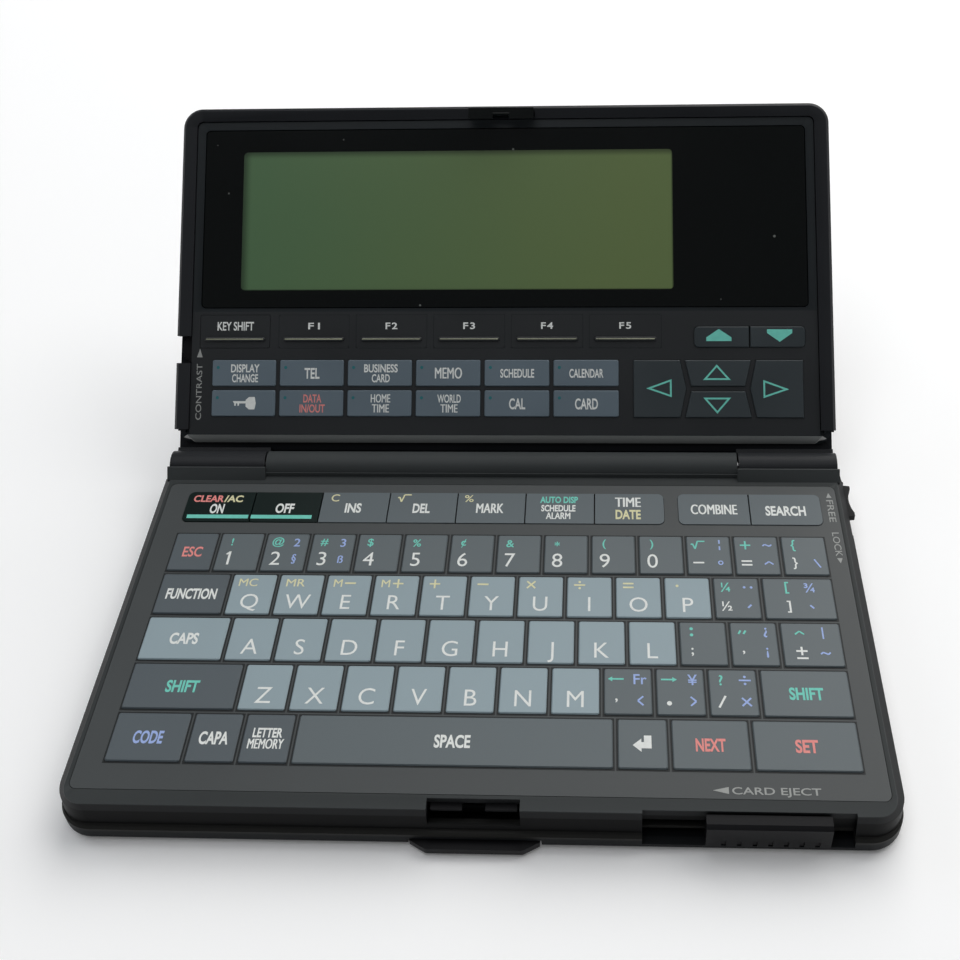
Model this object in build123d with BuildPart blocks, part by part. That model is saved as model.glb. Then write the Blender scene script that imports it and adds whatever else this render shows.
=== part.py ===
from build123d import *
import math
import os

# Pocket electronic organizer: a clamshell with a keyboard base and a display lid.
# Millimetres.  X to the right, Y to the back, Z up.  The origin is the centre of the
# keyboard, on the surface that the organizer stands on.  The lid is modelled open.

# ---- driving dimensions ------------------------------------------------------------
# base case
CASE_HALF_WIDTH = 81.0      # side walls and ledge
CASE_FRONT = -43.2          # front ledge
CASE_REAR = 46.8
TOP_FRONT = -41.2           # front edge of the top face
TOP_HALF_WIDTH = 78.9
FOOT_HEIGHT = 0.6
PARTING_Z = 3.6             # where the bottom case meets the top frame
DECK_Z = 10.0               # top face of the base
WALL = 1.6
FLOOR = 1.2
INNER_X = 77.7              # inside of the side walls
EAR_X = 79.6                # outer end of the hinge ears
SHOULDER_Z = 7.9            # the sides slope inwards above this
FRONT_RADIUS = 7.0
REAR_RADIUS = 2.5

# keyboard
PANEL_HALF_WIDTH = 78.0
PANEL_HALF_DEPTH = 38.2
PANEL_THICKNESS = 0.8
KEY_PITCH_X = 10.51
KEY_PITCH_Y = 11.35
KEY_GAP = 1.0
KEY_FIELD_X = 0.45          # centre of the key field
TOP_ROW_Y = 17.95           # centre of the number row
KEY_HEIGHT = 0.35           # above the panel
KEY_TRAVEL = 0.4
KEY_CLEARANCE = 0.1         # round each key, in its opening
FLANGE = 0.3                # lip that keeps a key under the panel
FLANGE_THICKNESS = 0.2
SIGN_ROW_Y = 31.1           # centre of the row of function keys
SIGN_ROW_DEPTH = 8.8
MAT_THICKNESS = 0.5
BOARD_THICKNESS = 1.0

# lid and hinge
HINGE_Y = 44.3
HINGE_Z = DECK_Z
HINGE_RADIUS = 3.25
BARREL_HALF = 55.9          # central barrel, on the base
KNUCKLE_INNER = 56.3
KNUCKLE_OUTER = 79.2
PIN_RADIUS = 1.25
OPEN_TILT = 45.3            # lid's angle above the table at rest
LID_HALF_WIDTH = 79.8
LID_LENGTH = 87.8           # hinge axis to the far edge
LID_FACE = -1.0             # lid's inner face, measured from the hinge axis
LID_RIM = -0.5              # raised rim round the inner face
LID_BACK = -8.2             # outer face
LID_WALL = 1.0
FRAME_HALF = 76.05
POCKET_HALF = 76.2
FRAME_TOP = 84.35
POCKET_TOP = 84.5
BEVEL_START = 7.2
BEVEL_END = 5.2
RIM_END = 8.0

# display
WINDOW_HALF = 74.0
WINDOW_LOW = 37.9
WINDOW_HIGH = 82.3
LCD_LEFT = -64.3
LCD_RIGHT = 41.7
LCD_LOW = 42.3
LCD_HIGH = 76.7
SHEET_LOW = 7.3             # lid key sheet
SHEET_HIGH = 37.0

# card slot, eject slider, lock switch, release latch, contrast wheel
SLOT_HALF = 27.25
SLOT_LOW = 2.15
SLOT_HIGH = 4.65
CHANNEL_LEFT = 31.6
CHANNEL_RIGHT = 71.1
CHANNEL_BACK = -40.6
EJECT_LEFT = 43.4
EJECT_RIGHT = 66.6
LOCK_FRONT = 30.9
LOCK_BACK = 40.7
LOCK_TRAVEL = 5.0
LATCH_HALF = 12.4
CATCH_HALF = 8.8
LATCH_TRAVEL = 1.2
WHEEL_X = -74.7
WHEEL_U = 28.1
WHEEL_RADIUS = 4.2
WHEEL_LOW = -4.5
WHEEL_HIGH = -2.6

PANEL_UNDER = DECK_Z - PANEL_THICKNESS
FLANGE_Z = PANEL_UNDER - 0.05 - FLANGE_THICKNESS
MAT_TOP = FLANGE_Z - KEY_TRAVEL - 0.1
BOARD_TOP = MAT_TOP - MAT_THICKNESS
LID_SHEET_UNDER = LID_FACE - PANEL_THICKNESS
LID_FLANGE = LID_SHEET_UNDER - 0.05 - FLANGE_THICKNESS
LID_MAT_TOP = LID_FLANGE - KEY_TRAVEL - 0.1
LID_BED = LID_MAT_TOP - MAT_THICKNESS

# The lid's own plane: X to the right, Y up the lid from the hinge axis, Z towards the user.
tilt = math.radians(OPEN_TILT)
LID = Plane(origin=(0, HINGE_Y, HINGE_Z), x_dir=(1, 0, 0), z_dir=(0, -math.sin(tilt), math.cos(tilt)))

os.makedirs("parts", exist_ok=True)


def save(builder, name):
    builder.part.label = name
    export_step(builder.part, f"parts/{name}.step")


def block(x0, x1, y0, y1, z0, z1, mode=Mode.ADD):
    """A box between two corners, in the working plane of the part being built."""
    with Locations(((x0 + x1) / 2, (y0 + y1) / 2, (z0 + z1) / 2)):
        Box(x1 - x0, y1 - y0, z1 - z0, mode=mode)


def post(x, y, z0, z1, radius, mode=Mode.ADD):
    """A round post or hole along the working plane's Z."""
    with Locations((x, y, (z0 + z1) / 2)):
        Cylinder(radius, z1 - z0, mode=mode)


def plate(plane, x0, x1, y0, y1, thickness, radius, mode=Mode.ADD):
    """A plate with rounded corners, built up from a plane."""
    with BuildSketch(plane) as outline:
        with Locations(((x0 + x1) / 2, (y0 + y1) / 2)):
            RectangleRounded(x1 - x0, y1 - y0, radius)
    extrude(outline.sketch, amount=thickness, mode=mode)


def case_outline(height, half_width, front, rear, front_radius):
    """The base's outline seen from above: large corners at the front, small ones at the back."""
    with BuildSketch(Plane.XY.offset(height)) as outline:
        with Locations((0, (front + rear) / 2)):
            body = Rectangle(2 * half_width, rear - front)
        fillet(body.vertices().group_by(Axis.Y)[0], front_radius)
        fillet(outline.vertices().group_by(Axis.Y)[-1], REAR_RADIUS)
    return outline.sketch


def hinge_rod(x0, x1, radius, mode=Mode.ADD):
    """A round bar or bore along the hinge axis."""
    with BuildSketch(Plane(origin=(x0, HINGE_Y, HINGE_Z), z_dir=(1, 0, 0))) as outline:
        Circle(radius)
    extrude(outline.sketch, amount=x1 - x0, mode=mode)


def side_profile(points, x0, x1, mode=Mode.ADD):
    """An outline of (Y, Z) points, extruded along X."""
    with BuildSketch(Plane(origin=(x0, 0, 0), x_dir=(0, 1, 0), z_dir=(1, 0, 0))) as outline:
        with BuildLine():
            Polyline(*points, close=True)
        make_face()
    extrude(outline.sketch, amount=x1 - x0, mode=mode)


def lid_profile(points, x0, x1, mode=Mode.ADD):
    """An outline of (up the lid, towards the user) points, extruded along X."""
    across = Plane(origin=LID.from_local_coords((x0, 0, 0)), x_dir=LID.y_dir, z_dir=(1, 0, 0))
    with BuildSketch(across) as outline:
        with BuildLine():
            Polyline(*points, close=True)
        make_face()
    extrude(outline.sketch, amount=x1 - x0, mode=mode)


# ---- key layout --------------------------------------------------------------------
# Each row from the left: (node, width in pitches).  Keys of one node share a STEP file.
KEY_ROWS = [
    [("key_esc", 1)] + [("number_keys", 1)] * 10 + [("symbol_keys", 1)] * 3,
    [("key_function", 1.5)] + [("top_letter_keys", 1)] * 10 + [("symbol_keys", 1), ("symbol_keys", 1.5)],
    [("key_caps", 1.75)] + [("middle_letter_keys", 1)] * 9 + [("symbol_keys", 1)] * 2 + [("symbol_keys", 1.25)],
    [("key_shift_left", 2.25)] + [("bottom_letter_keys", 1)] * 7 + [("symbol_keys", 1)] * 3
    + [("key_shift_right", 1.75)],
    [("code_keys", 1.5), ("code_keys", 1), ("code_keys", 1), ("key_space", 6), ("key_return", 1),
     ("key_next", 1.5), ("key_set", 2)],
]
ROW_PITCHES = 14


def base_key_pads():
    """(node, centre x, centre y, width, depth) of every raised key on the base."""
    pads = []
    left = KEY_FIELD_X - ROW_PITCHES / 2 * KEY_PITCH_X
    for row, keys in enumerate(KEY_ROWS):
        x = left
        y = TOP_ROW_Y - row * KEY_PITCH_Y
        for node, pitches in keys:
            width = pitches * KEY_PITCH_X
            pads.append((node, x + width / 2, y, width - KEY_GAP, KEY_PITCH_Y - KEY_GAP))
            x += width
    return pads


# Blocks of keys in the top row: left edge, key pitch and the node of each key.
SIGN_GAP = 0.3
SIGN_BLOCKS = [
    (-72.9, 15.9, ["key_on", "key_off"] + ["edit_keys"] * 5),
    (41.7, 16.2, ["search_keys"] * 2),
]
SIGN_CORNER = 1.5


def sign_key_pads():
    """(node, left, right, is first in block, is last in block) of the top-row keys."""
    pads = []
    for left, pitch, nodes in SIGN_BLOCKS:
        for i, node in enumerate(nodes):
            x0 = left + i * pitch + (SIGN_GAP / 2 if i else 0)
            x1 = left + (i + 1) * pitch - (SIGN_GAP / 2 if i < len(nodes) - 1 else 0)
            pads.append((node, x0, x1, i == 0, i == len(nodes) - 1))
    return pads


# Lid keys.  Mode keys: two rows of six.
MODE_LEFT = -70.7
MODE_PITCH_X = 16.67
MODE_WIDTH = 15.67
MODE_PITCH_U = 7.3
MODE_DEPTH = 6.3
MODE_TOP_U = 22.05          # centre of the upper row
# Soft keys: a flat pad with a raised bar, the shift key and then five.
SOFT_WIDTH = 17.2
SOFT_LOW = 28.2
SOFT_HIGH = 36.2
SOFT_X = [-65.4, -45.9, -26.85, -7.85, 11.1, 30.0]
BAR_LENGTH = 15.0
BAR_WIDTH = 1.05
BAR_U = 30.3
BAR_HEIGHT = 0.5
# Page keys and the arrow pad.
PAGE_LEFT = 46.5
PAGE_RIGHT = 73.0
PAGE_LOW = 28.2
PAGE_HIGH = 33.2
ARROW_X = 52.1
ARROW_U = 18.3
ARROW_HALF_WIDTH = 20.3
ARROW_HALF_DEPTH = 6.95
ARROW_SPLIT = 0.5           # half the gap between two arrow keys


def arrow_outline(name):
    """Corner points of one arrow key, in the lid's plane."""
    hw, hd, s = ARROW_HALF_WIDTH, ARROW_HALF_DEPTH, ARROW_SPLIT
    tip, root = 7.0, 8.5
    sides = {
        "key_left": [(-hw, hd), (-root - s, hd), (-tip - s, 0), (-root - s, -hd), (-hw, -hd)],
        "key_right": [(hw, hd), (root + s, hd), (tip + s, 0), (root + s, -hd), (hw, -hd)],
        "key_up": [(-root + s, hd), (root - s, hd), (tip - s, s), (-tip + s, s)],
        "key_down": [(-tip + s, -s), (tip - s, -s), (root - s, -hd), (-root + s, -hd)],
    }
    return [(ARROW_X + x, ARROW_U + y) for x, y in sides[name]]


ARROW_KEYS = ["key_left", "key_right", "key_up", "key_down"]


def mode_pads():
    """Centres of the twelve mode keys."""
    return [(MODE_LEFT + MODE_WIDTH / 2 + c * MODE_PITCH_X, MODE_TOP_U - r * MODE_PITCH_U)
            for r in range(2) for c in range(6)]


# ---- bottom case -------------------------------------------------------------------
BATTERY_X = [31.0, 54.0]
BATTERY_Y = 12.0
CELL_RADIUS = 10.0
CELL_THICKNESS = 3.2
COVER_X = (17.0, 68.0)
COVER_Y = (-1.0, 25.0)
SCREW_XY = [(-73.0, -34.5), (73.0, -34.5), (-72.5, 35.0), (72.5, 35.0)]
FOOT_XY = [(-66.0, -33.0), (66.0, -33.0), (-66.0, 38.0), (66.0, 38.0), (0.0, 0.0)]
JACK_Y = -10.0
JACK_Z = 5.3
FLOOR_TOP = FOOT_HEIGHT + FLOOR

with BuildPart() as bottom_case:
    extrude(case_outline(FOOT_HEIGHT, CASE_HALF_WIDTH, CASE_FRONT, CASE_REAR, FRONT_RADIUS),
            amount=PARTING_Z - FOOT_HEIGHT)
    fillet(bottom_case.edges().group_by(Axis.Z)[0], 1.1)
    plate(Plane.XY.offset(FLOOR_TOP), -INNER_X, INNER_X, CASE_FRONT + WALL, CASE_REAR - WALL,
          PARTING_Z, 5, Mode.SUBTRACT)
    # wells for the coin cells, open to the battery cover
    block(COVER_X[0] - 1.2, COVER_X[1] + 1.2, COVER_Y[0] - 1.2, COVER_Y[1] + 1.2, FLOOR_TOP, 5.0)
    for x in BATTERY_X:
        post(x, BATTERY_Y, 0, 5.2, CELL_RADIUS + 0.2, Mode.SUBTRACT)
    block(*COVER_X, *COVER_Y, 0, FLOOR_TOP, Mode.SUBTRACT)
    # screw seats and foot recesses
    for x, y in SCREW_XY:
        post(x, y, FLOOR_TOP, PARTING_Z, 3.0)
        post(x, y, 0, 10, 1.05, Mode.SUBTRACT)
        post(x, y, 0, FOOT_HEIGHT + 1.4, 2.1, Mode.SUBTRACT)
    for x, y in FOOT_XY:
        post(x, y, 0, FOOT_HEIGHT + 0.4, 4.1, Mode.SUBTRACT)
    # card slot in the left wall
    block(-84, -INNER_X + 0.1, -SLOT_HALF, SLOT_HALF, SLOT_LOW, 10, Mode.SUBTRACT)
    # eject channel and the gap that the release latch fills
    block(CHANNEL_LEFT, CHANNEL_RIGHT, CASE_FRONT - 1, CHANNEL_BACK, 2.4, 10, Mode.SUBTRACT)
    block(CHANNEL_LEFT, CHANNEL_RIGHT, CASE_FRONT + WALL - 0.1, -30, 2.4, 10, Mode.SUBTRACT)
    block(-LATCH_HALF - 0.3, LATCH_HALF + 0.3, -46, -33.1, 0, 2.9, Mode.SUBTRACT)
    # pocket behind the latch for its spring
    block(-3.0, 3.0, -32.7, -29.4, FLOOR_TOP, 3.4)
    block(-1.6, 1.6, -34.1, -30.2, 0.95, 2.75, Mode.SUBTRACT)

# ---- top frame ---------------------------------------------------------------------
TROUGH = HINGE_RADIUS + 0.3
LEDGE_Z = 4.6
with BuildPart() as top_frame:
    # ledge, then the sloping front up to the shoulder and the sloping sides above it
    extrude(case_outline(PARTING_Z, CASE_HALF_WIDTH, CASE_FRONT, CASE_REAR, FRONT_RADIUS),
            amount=LEDGE_Z - PARTING_Z)
    chamfer(top_frame.edges().group_by(Axis.Z)[-1], 0.4)
    loft([case_outline(LEDGE_Z - 0.3, CASE_HALF_WIDTH - 0.2, CASE_FRONT + 0.9, CASE_REAR - 0.1, 6.6),
          case_outline(SHOULDER_Z, CASE_HALF_WIDTH - 0.2, CASE_FRONT + 1.6, CASE_REAR - 0.2, 6.2)])
    loft([case_outline(SHOULDER_Z, CASE_HALF_WIDTH - 0.2, CASE_FRONT + 1.6, CASE_REAR - 0.2, 6.2),
          case_outline(DECK_Z, TOP_HALF_WIDTH, TOP_FRONT, CASE_REAR - 0.3, 4)])
    # hollow inside, opening for the keys and recess for the keyboard panel
    block(-INNER_X, INNER_X, -38.6, 38.8, 0, PANEL_UNDER - 0.8, Mode.SUBTRACT)
    block(-PANEL_HALF_WIDTH + 2, PANEL_HALF_WIDTH - 2, -36.3, 36.9, 0, 20, Mode.SUBTRACT)
    plate(Plane.XY.offset(PANEL_UNDER), -PANEL_HALF_WIDTH - 0.1, PANEL_HALF_WIDTH + 0.1,
          -PANEL_HALF_DEPTH - 0.1, PANEL_HALF_DEPTH + 0.1, 5, 1.6, Mode.SUBTRACT)
    # hinge: a long barrel in the middle and an ear in front of each lid knuckle
    hinge_rod(-BARREL_HALF, BARREL_HALF, HINGE_RADIUS)
    side_profile([(40.2, 8), (40.9, DECK_Z + 0.9), (41.6, DECK_Z + 0.9), (43, 8)], -BARREL_HALF, BARREL_HALF)
    for x0, x1 in ((-EAR_X, -BARREL_HALF), (BARREL_HALF, EAR_X)):
        side_profile([(39.4, 9), (39.4, DECK_Z), (41.3, DECK_Z + 2.3), (42.2, DECK_Z + 2.3), (44, 9)], x0, x1)
        hinge_rod(x0 - 2 if x0 < 0 else x0, x1 if x0 < 0 else x1 + 2, TROUGH, Mode.SUBTRACT)
        side_profile([(HINGE_Y, HINGE_Z - 0.5), (46.4, 7.2), (49, 4), (49, 14), (HINGE_Y, 14)],
                     x0 - 2 if x0 < 0 else x0, x1 if x0 < 0 else x1 + 2, Mode.SUBTRACT)
    # hollow of the barrel: pin bores at the ends and a way down for the flex cable
    hinge_rod(-BARREL_HALF, -BARREL_HALF + 10, PIN_RADIUS, Mode.SUBTRACT)
    hinge_rod(BARREL_HALF - 10, BARREL_HALF, PIN_RADIUS, Mode.SUBTRACT)
    hinge_rod(-30, -8, 2.3, Mode.SUBTRACT)
    block(-27, -11, 38.0, 42.6, 5.2, 7.2, Mode.SUBTRACT)
    block(-27, -11, 42.0, 44.3, 5.2, 9.0, Mode.SUBTRACT)
    # screw bosses under the shelf
    for x, y in SCREW_XY:
        post(x, y, PARTING_Z, MAT_TOP, 2.3)
        block(x - 1.2, x + 1.2, min(y, y * 1.12), max(y, y * 1.12), PARTING_Z, MAT_TOP)
        post(x, y, 0, 7.6, 1.05, Mode.SUBTRACT)
    # card slot, data socket hole, lock switch window
    block(-84, -INNER_X + 0.1, -SLOT_HALF, SLOT_HALF, 0, SLOT_HIGH, Mode.SUBTRACT)
    with Locations(Location((79, JACK_Y, JACK_Z), (0, 90, 0))):
        Cylinder(1.6, 8, mode=Mode.SUBTRACT)
    block(76, 84, LOCK_FRONT - LOCK_TRAVEL - 0.3, LOCK_BACK + 0.25, 6.1, 8.1, Mode.SUBTRACT)
    # eject channel across the front corner, with a slit for the slider's arm
    block(CHANNEL_LEFT, CHANNEL_RIGHT, CASE_FRONT - 1, CHANNEL_BACK, 0, 20, Mode.SUBTRACT)
    block(CHANNEL_LEFT, 50.2, CHANNEL_BACK - 0.5, -38, 4.5, 6.7, Mode.SUBTRACT)
    # recess that the lid's hook drops into, and the window for the latch's tongues
    block(-CATCH_HALF, CATCH_HALF, CASE_FRONT - 1, -38.95, 5.9, 20, Mode.SUBTRACT)
    block(-CATCH_HALF, CATCH_HALF, -41.5, -38.95, 4.6, 6, Mode.SUBTRACT)
    block(-CATCH_HALF, CATCH_HALF, -40, -38, 7.4, PANEL_UNDER - 0.8, Mode.SUBTRACT)
    block(-CATCH_HALF, CATCH_HALF, -40, -38, 0, 5, Mode.SUBTRACT)
    block(-LATCH_HALF - 0.3, LATCH_HALF + 0.3, -41.5, -38, 0, 4.4, Mode.SUBTRACT)

# ---- keyboard ----------------------------------------------------------------------
base_pads = base_key_pads()
sign_pads = sign_key_pads()

with BuildPart() as keyboard_panel:
    plate(Plane.XY.offset(PANEL_UNDER), -PANEL_HALF_WIDTH, PANEL_HALF_WIDTH, -PANEL_HALF_DEPTH,
          PANEL_HALF_DEPTH, PANEL_THICKNESS, 1.5)
    with BuildSketch(Plane.XY.offset(PANEL_UNDER)):
        for _, x, y, width, depth in base_pads:
            with Locations((x, y)):
                RectangleRounded(width + 2 * KEY_CLEARANCE, depth + 2 * KEY_CLEARANCE, 0.5)
        for left, pitch, nodes in SIGN_BLOCKS:
            with Locations((left + len(nodes) * pitch / 2, SIGN_ROW_Y)):
                RectangleRounded(len(nodes) * pitch + 2 * KEY_CLEARANCE,
                                 SIGN_ROW_DEPTH + 2 * KEY_CLEARANCE, SIGN_CORNER)
    extrude(amount=PANEL_THICKNESS, mode=Mode.SUBTRACT)


def build_base_keys(node):
    """All the raised keys of one node, each with the flange that holds it in."""
    with BuildPart() as keys:
        with BuildSketch(Plane.XY.offset(FLANGE_Z)):
            for name, x, y, width, depth in base_pads:
                if name == node:
                    with Locations((x, y)):
                        Rectangle(width + 2 * FLANGE, depth + 2 * FLANGE)
        extrude(amount=FLANGE_THICKNESS)
        with BuildSketch(Plane.XY.offset(FLANGE_Z)):
            for name, x, y, width, depth in base_pads:
                if name == node:
                    with Locations((x, y)):
                        RectangleRounded(width, depth, 0.45)
        extrude(amount=DECK_Z + KEY_HEIGHT - FLANGE_Z)
        chamfer(keys.faces().group_by(Axis.Z)[-1].edges(), 0.22)
    return keys


def build_sign_keys(node):
    """Top-row keys: flat, almost flush, with rounded corners at the ends of a block."""
    with BuildPart() as keys:
        for name, x0, x1, first, last in sign_pads:
            if name != node:
                continue
            y0 = SIGN_ROW_Y - SIGN_ROW_DEPTH / 2
            y1 = SIGN_ROW_Y + SIGN_ROW_DEPTH / 2
            out0 = FLANGE if first else 0
            out1 = FLANGE if last else 0
            block(x0 - out0, x1 + out1, y0 - FLANGE, y1 + FLANGE, FLANGE_Z, FLANGE_Z + FLANGE_THICKNESS)
            with BuildSketch(Plane.XY.offset(FLANGE_Z)):
                with Locations(((x0 + x1) / 2, SIGN_ROW_Y)):
                    pad = Rectangle(x1 - x0, SIGN_ROW_DEPTH)
                if first:
                    fillet(pad.vertices().group_by(Axis.X)[0], SIGN_CORNER - 0.1)
                if last:
                    fillet(pad.vertices().group_by(Axis.X)[-1], SIGN_CORNER - 0.1)
            extrude(amount=DECK_Z + 0.2 - FLANGE_Z)
    return keys


with BuildPart() as keypad_mat:
    block(-74, 75, -35.3, 36.2, BOARD_TOP, MAT_TOP)
    # holes over the screw bosses
    for x, y in SCREW_XY:
        post(x, y, 0, 20, 2.7, Mode.SUBTRACT)

# ---- electronics and battery bay ---------------------------------------------------
BOARD_UNDER = BOARD_TOP - BOARD_THICKNESS
with BuildPart() as main_board:
    block(-74, 75, -35.3, 36.2, BOARD_UNDER, BOARD_TOP)
    for x, y in SCREW_XY:
        post(x, y, 0, 20, 2.7, Mode.SUBTRACT)

with BuildPart() as main_chips:
    for x, y, size_x, size_y, height in [(-45, 8, 14, 14, 1.6), (-20, 8, 12, 9, 1.4), (-20, -9, 12, 9, 1.4),
                                         (-47, -14, 9, 6, 1.4), (40, -14, 10, 10, 1.6), (24, -16, 8, 3, 1.6)]:
        block(x - size_x / 2, x + size_x / 2, y - size_y / 2, y + size_y / 2, BOARD_UNDER - height, BOARD_UNDER)

GUIDE_RIGHT = 7.0
with BuildPart() as card_guide:
    block(-INNER_X + 0.1, GUIDE_RIGHT, -29, 29, FLOOR_TOP, 5.0)
    block(-80, 20, -SLOT_HALF, SLOT_HALF, SLOT_LOW, SLOT_HIGH, Mode.SUBTRACT)
    # a long window over the card, and the corner that the ejector's finger passes through
    block(-66, -6, -20, 20, 4, 6, Mode.SUBTRACT)
    block(-6.5, 20, -30, -23.6, SLOT_LOW, 6, Mode.SUBTRACT)

with BuildPart() as card_connector:
    block(GUIDE_RIGHT + 0.1, 10.8, -22, 22, FLOOR_TOP, 5.0)
    with BuildSketch(Plane(origin=(GUIDE_RIGHT - 1.4, 0, 3.3), x_dir=(0, 1, 0), z_dir=(1, 0, 0))):
        with GridLocations(1.27, 1, 32, 1):
            Rectangle(0.5, 0.4)
    extrude(amount=1.6)

with BuildPart() as battery_cover:
    block(COVER_X[0] + 0.2, COVER_X[1] - 0.2, COVER_Y[0] + 0.2, COVER_Y[1] - 0.2, FOOT_HEIGHT, FLOOR_TOP)
    # grip ridges
    with BuildSketch(Plane.XY.offset(FOOT_HEIGHT)):
        with Locations((COVER_X[0] + 5, BATTERY_Y)):
            with GridLocations(1.4, 1, 4, 1):
                Rectangle(0.6, 12)
    extrude(amount=0.35, mode=Mode.SUBTRACT)

with BuildPart() as coin_cells:
    for x in BATTERY_X:
        post(x, BATTERY_Y, FLOOR_TOP + 0.1, FLOOR_TOP + 0.1 + CELL_THICKNESS - 0.2, CELL_RADIUS)
        post(x, BATTERY_Y, FLOOR_TOP + 3.1, FLOOR_TOP + 0.1 + CELL_THICKNESS, CELL_RADIUS - 1.2)

with BuildPart() as battery_contacts:
    block(BATTERY_X[0] - 4, BATTERY_X[1] + 4, BATTERY_Y - 2, BATTERY_Y + 2, 5.15, 5.45)
    block(BATTERY_X[0] + 10.5, BATTERY_X[0] + 12.5, BATTERY_Y - 2, BATTERY_Y + 2, 5.15, BOARD_UNDER)

with BuildPart() as case_screws:
    for x, y in SCREW_XY:
        post(x, y, FOOT_HEIGHT + 0.3, FOOT_HEIGHT + 1.4, 1.95)
        post(x, y, FOOT_HEIGHT + 1.4, 7.4, 1.0)
        block(x - 1.2, x + 1.2, y - 0.25, y + 0.25, FOOT_HEIGHT, FOOT_HEIGHT + 0.7, Mode.SUBTRACT)
        block(x - 0.25, x + 0.25, y - 1.2, y + 1.2, FOOT_HEIGHT, FOOT_HEIGHT + 0.7, Mode.SUBTRACT)

with BuildPart() as rubber_feet:
    for x, y in FOOT_XY:
        post(x, y, 0, FOOT_HEIGHT + 0.4, 4.0)

with BuildPart() as buzzer:
    post(58, -18, FLOOR_TOP, FLOOR_TOP + 0.3, 9.0)
    post(58, -18, FLOOR_TOP + 0.3, FLOOR_TOP + 0.5, 6.0)

with BuildPart() as data_jack:
    block(64.5, 66.5, JACK_Y - 2.4, JACK_Y + 2.4, 3.7, BOARD_UNDER)
    with Locations(Location((71.9, JACK_Y, JACK_Z), (0, 90, 0))):
        Cylinder(1.6, 11.2)
        Cylinder(1.25, 11.2, mode=Mode.SUBTRACT)

# ---- hinge hardware ----------------------------------------------------------------
with BuildPart() as hinge_pins:
    for x0 in (-BARREL_HALF - 8, BARREL_HALF - 8):
        hinge_rod(x0, x0 + 16, PIN_RADIUS)

with BuildPart() as hinge_sleeves:
    for x0 in (-KNUCKLE_INNER - 8.2, KNUCKLE_INNER + 0.2):
        hinge_rod(x0, x0 + 8, 2.0)
        hinge_rod(x0, x0 + 8, PIN_RADIUS + 0.04, Mode.SUBTRACT)

# rolled flex cable inside the barrel, with its tail down to the main board
with BuildPart() as flex_cable:
    hinge_rod(-26, -12, 2.0)
    hinge_rod(-26, -12, 1.6, Mode.SUBTRACT)
    side_profile([(42.4, 8.6), (42.9, 8.6), (42.9, 5.9), (42.6, 5.6), (35, 5.6), (35, BOARD_UNDER), (35.6, BOARD_UNDER),
                  (35.6, 5.9), (42.4, 5.9)], -26, -12)

# ---- moving parts of the base ------------------------------------------------------
with BuildPart() as eject_slider:
    # thumb pad in the front channel, with gripping notches along its lower edge
    block(EJECT_LEFT, EJECT_RIGHT, -43.5, CHANNEL_BACK - 0.35, 2.7, 9.4)
    chamfer(eject_slider.edges().filter_by(Axis.X).group_by(Axis.Y)[0].group_by(Axis.Z)[-1], 0.7)
    for i in range(7):
        x = EJECT_LEFT + 2.9 + i * 2.9
        block(x, x + 0.9, -44, -43.1, 2.5, 4.6, Mode.SUBTRACT)
    # arm through the slit, bar behind the front wall, and finger behind the card
    block(44.4, 48.4, CHANNEL_BACK - 0.35, -34.2, 4.8, 6.4)
    block(7.6, 48.4, -35.4, -34.2, 4.8, 6.4)
    block(7.6, 9.0, -35.4, -34.2, 3.65, 6.4)
    block(7.6, 9.0, -35.4, -23.9, 3.65, 4.45)

with BuildPart() as lock_switch:
    # knob with raised ends, in the right side wall
    with BuildSketch(Plane.XY.offset(6.3)):
        with BuildLine():
            Line((78.0, LOCK_FRONT), (82.1, LOCK_FRONT + 0.5))
            Line((82.1, LOCK_FRONT + 0.5), (82.1, LOCK_FRONT + 1.4))
            ThreePointArc((82.1, LOCK_FRONT + 1.4), (81.3, (LOCK_FRONT + LOCK_BACK) / 2), (82.1, LOCK_BACK - 1.4))
            Line((82.1, LOCK_BACK - 1.4), (82.1, LOCK_BACK - 0.5))
            Line((82.1, LOCK_BACK - 0.5), (78.0, LOCK_BACK))
            Line((78.0, LOCK_BACK), (78.0, LOCK_FRONT))
        make_face()
    extrude(amount=1.6)
    # flange that keeps it behind the wall
    block(76.6, 77.4, LOCK_FRONT + 0.6, 38.5, 5.4, 8.1)
    block(77.4, 78.0, LOCK_FRONT + 0.6, 38.5, 6.3, 7.9)

with BuildPart() as release_latch:
    # thumb lip in front of the case, on a plate that slides in the floor
    with BuildSketch(Plane.XY.offset(0.95)):
        with BuildLine():
            Polyline((-LATCH_HALF, -34.6), (LATCH_HALF, -34.6), (LATCH_HALF, -43.3), (LATCH_HALF - 3.2, -45.0),
                     (-LATCH_HALF + 3.2, -45.0), (-LATCH_HALF, -43.3), close=True)
        make_face()
    extrude(amount=1.55)
    fillet(release_latch.edges().filter_by(Axis.Z).group_by(Axis.Y)[0], 1.4)
    # two tongues that catch the lid's hook
    for x0, x1 in ((-8.2, -2.2), (2.2, 8.2)):
        block(x0, x1, -38.4, -37.4, 2.5, 8.25)
        block(x0, x1, -40.2, -37.4, 7.7, 8.25)

SPRING_TURNS = 5
with BuildPart() as latch_spring:
    with BuildLine():
        coil = Helix(pitch=3.9 / SPRING_TURNS, height=3.9, radius=0.6, center=(0, -34.38, 1.85), direction=(0, 1, 0))
    with BuildSketch(Plane(origin=coil @ 0, z_dir=coil % 0)):
        Circle(0.11)
    sweep(path=coil)

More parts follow.
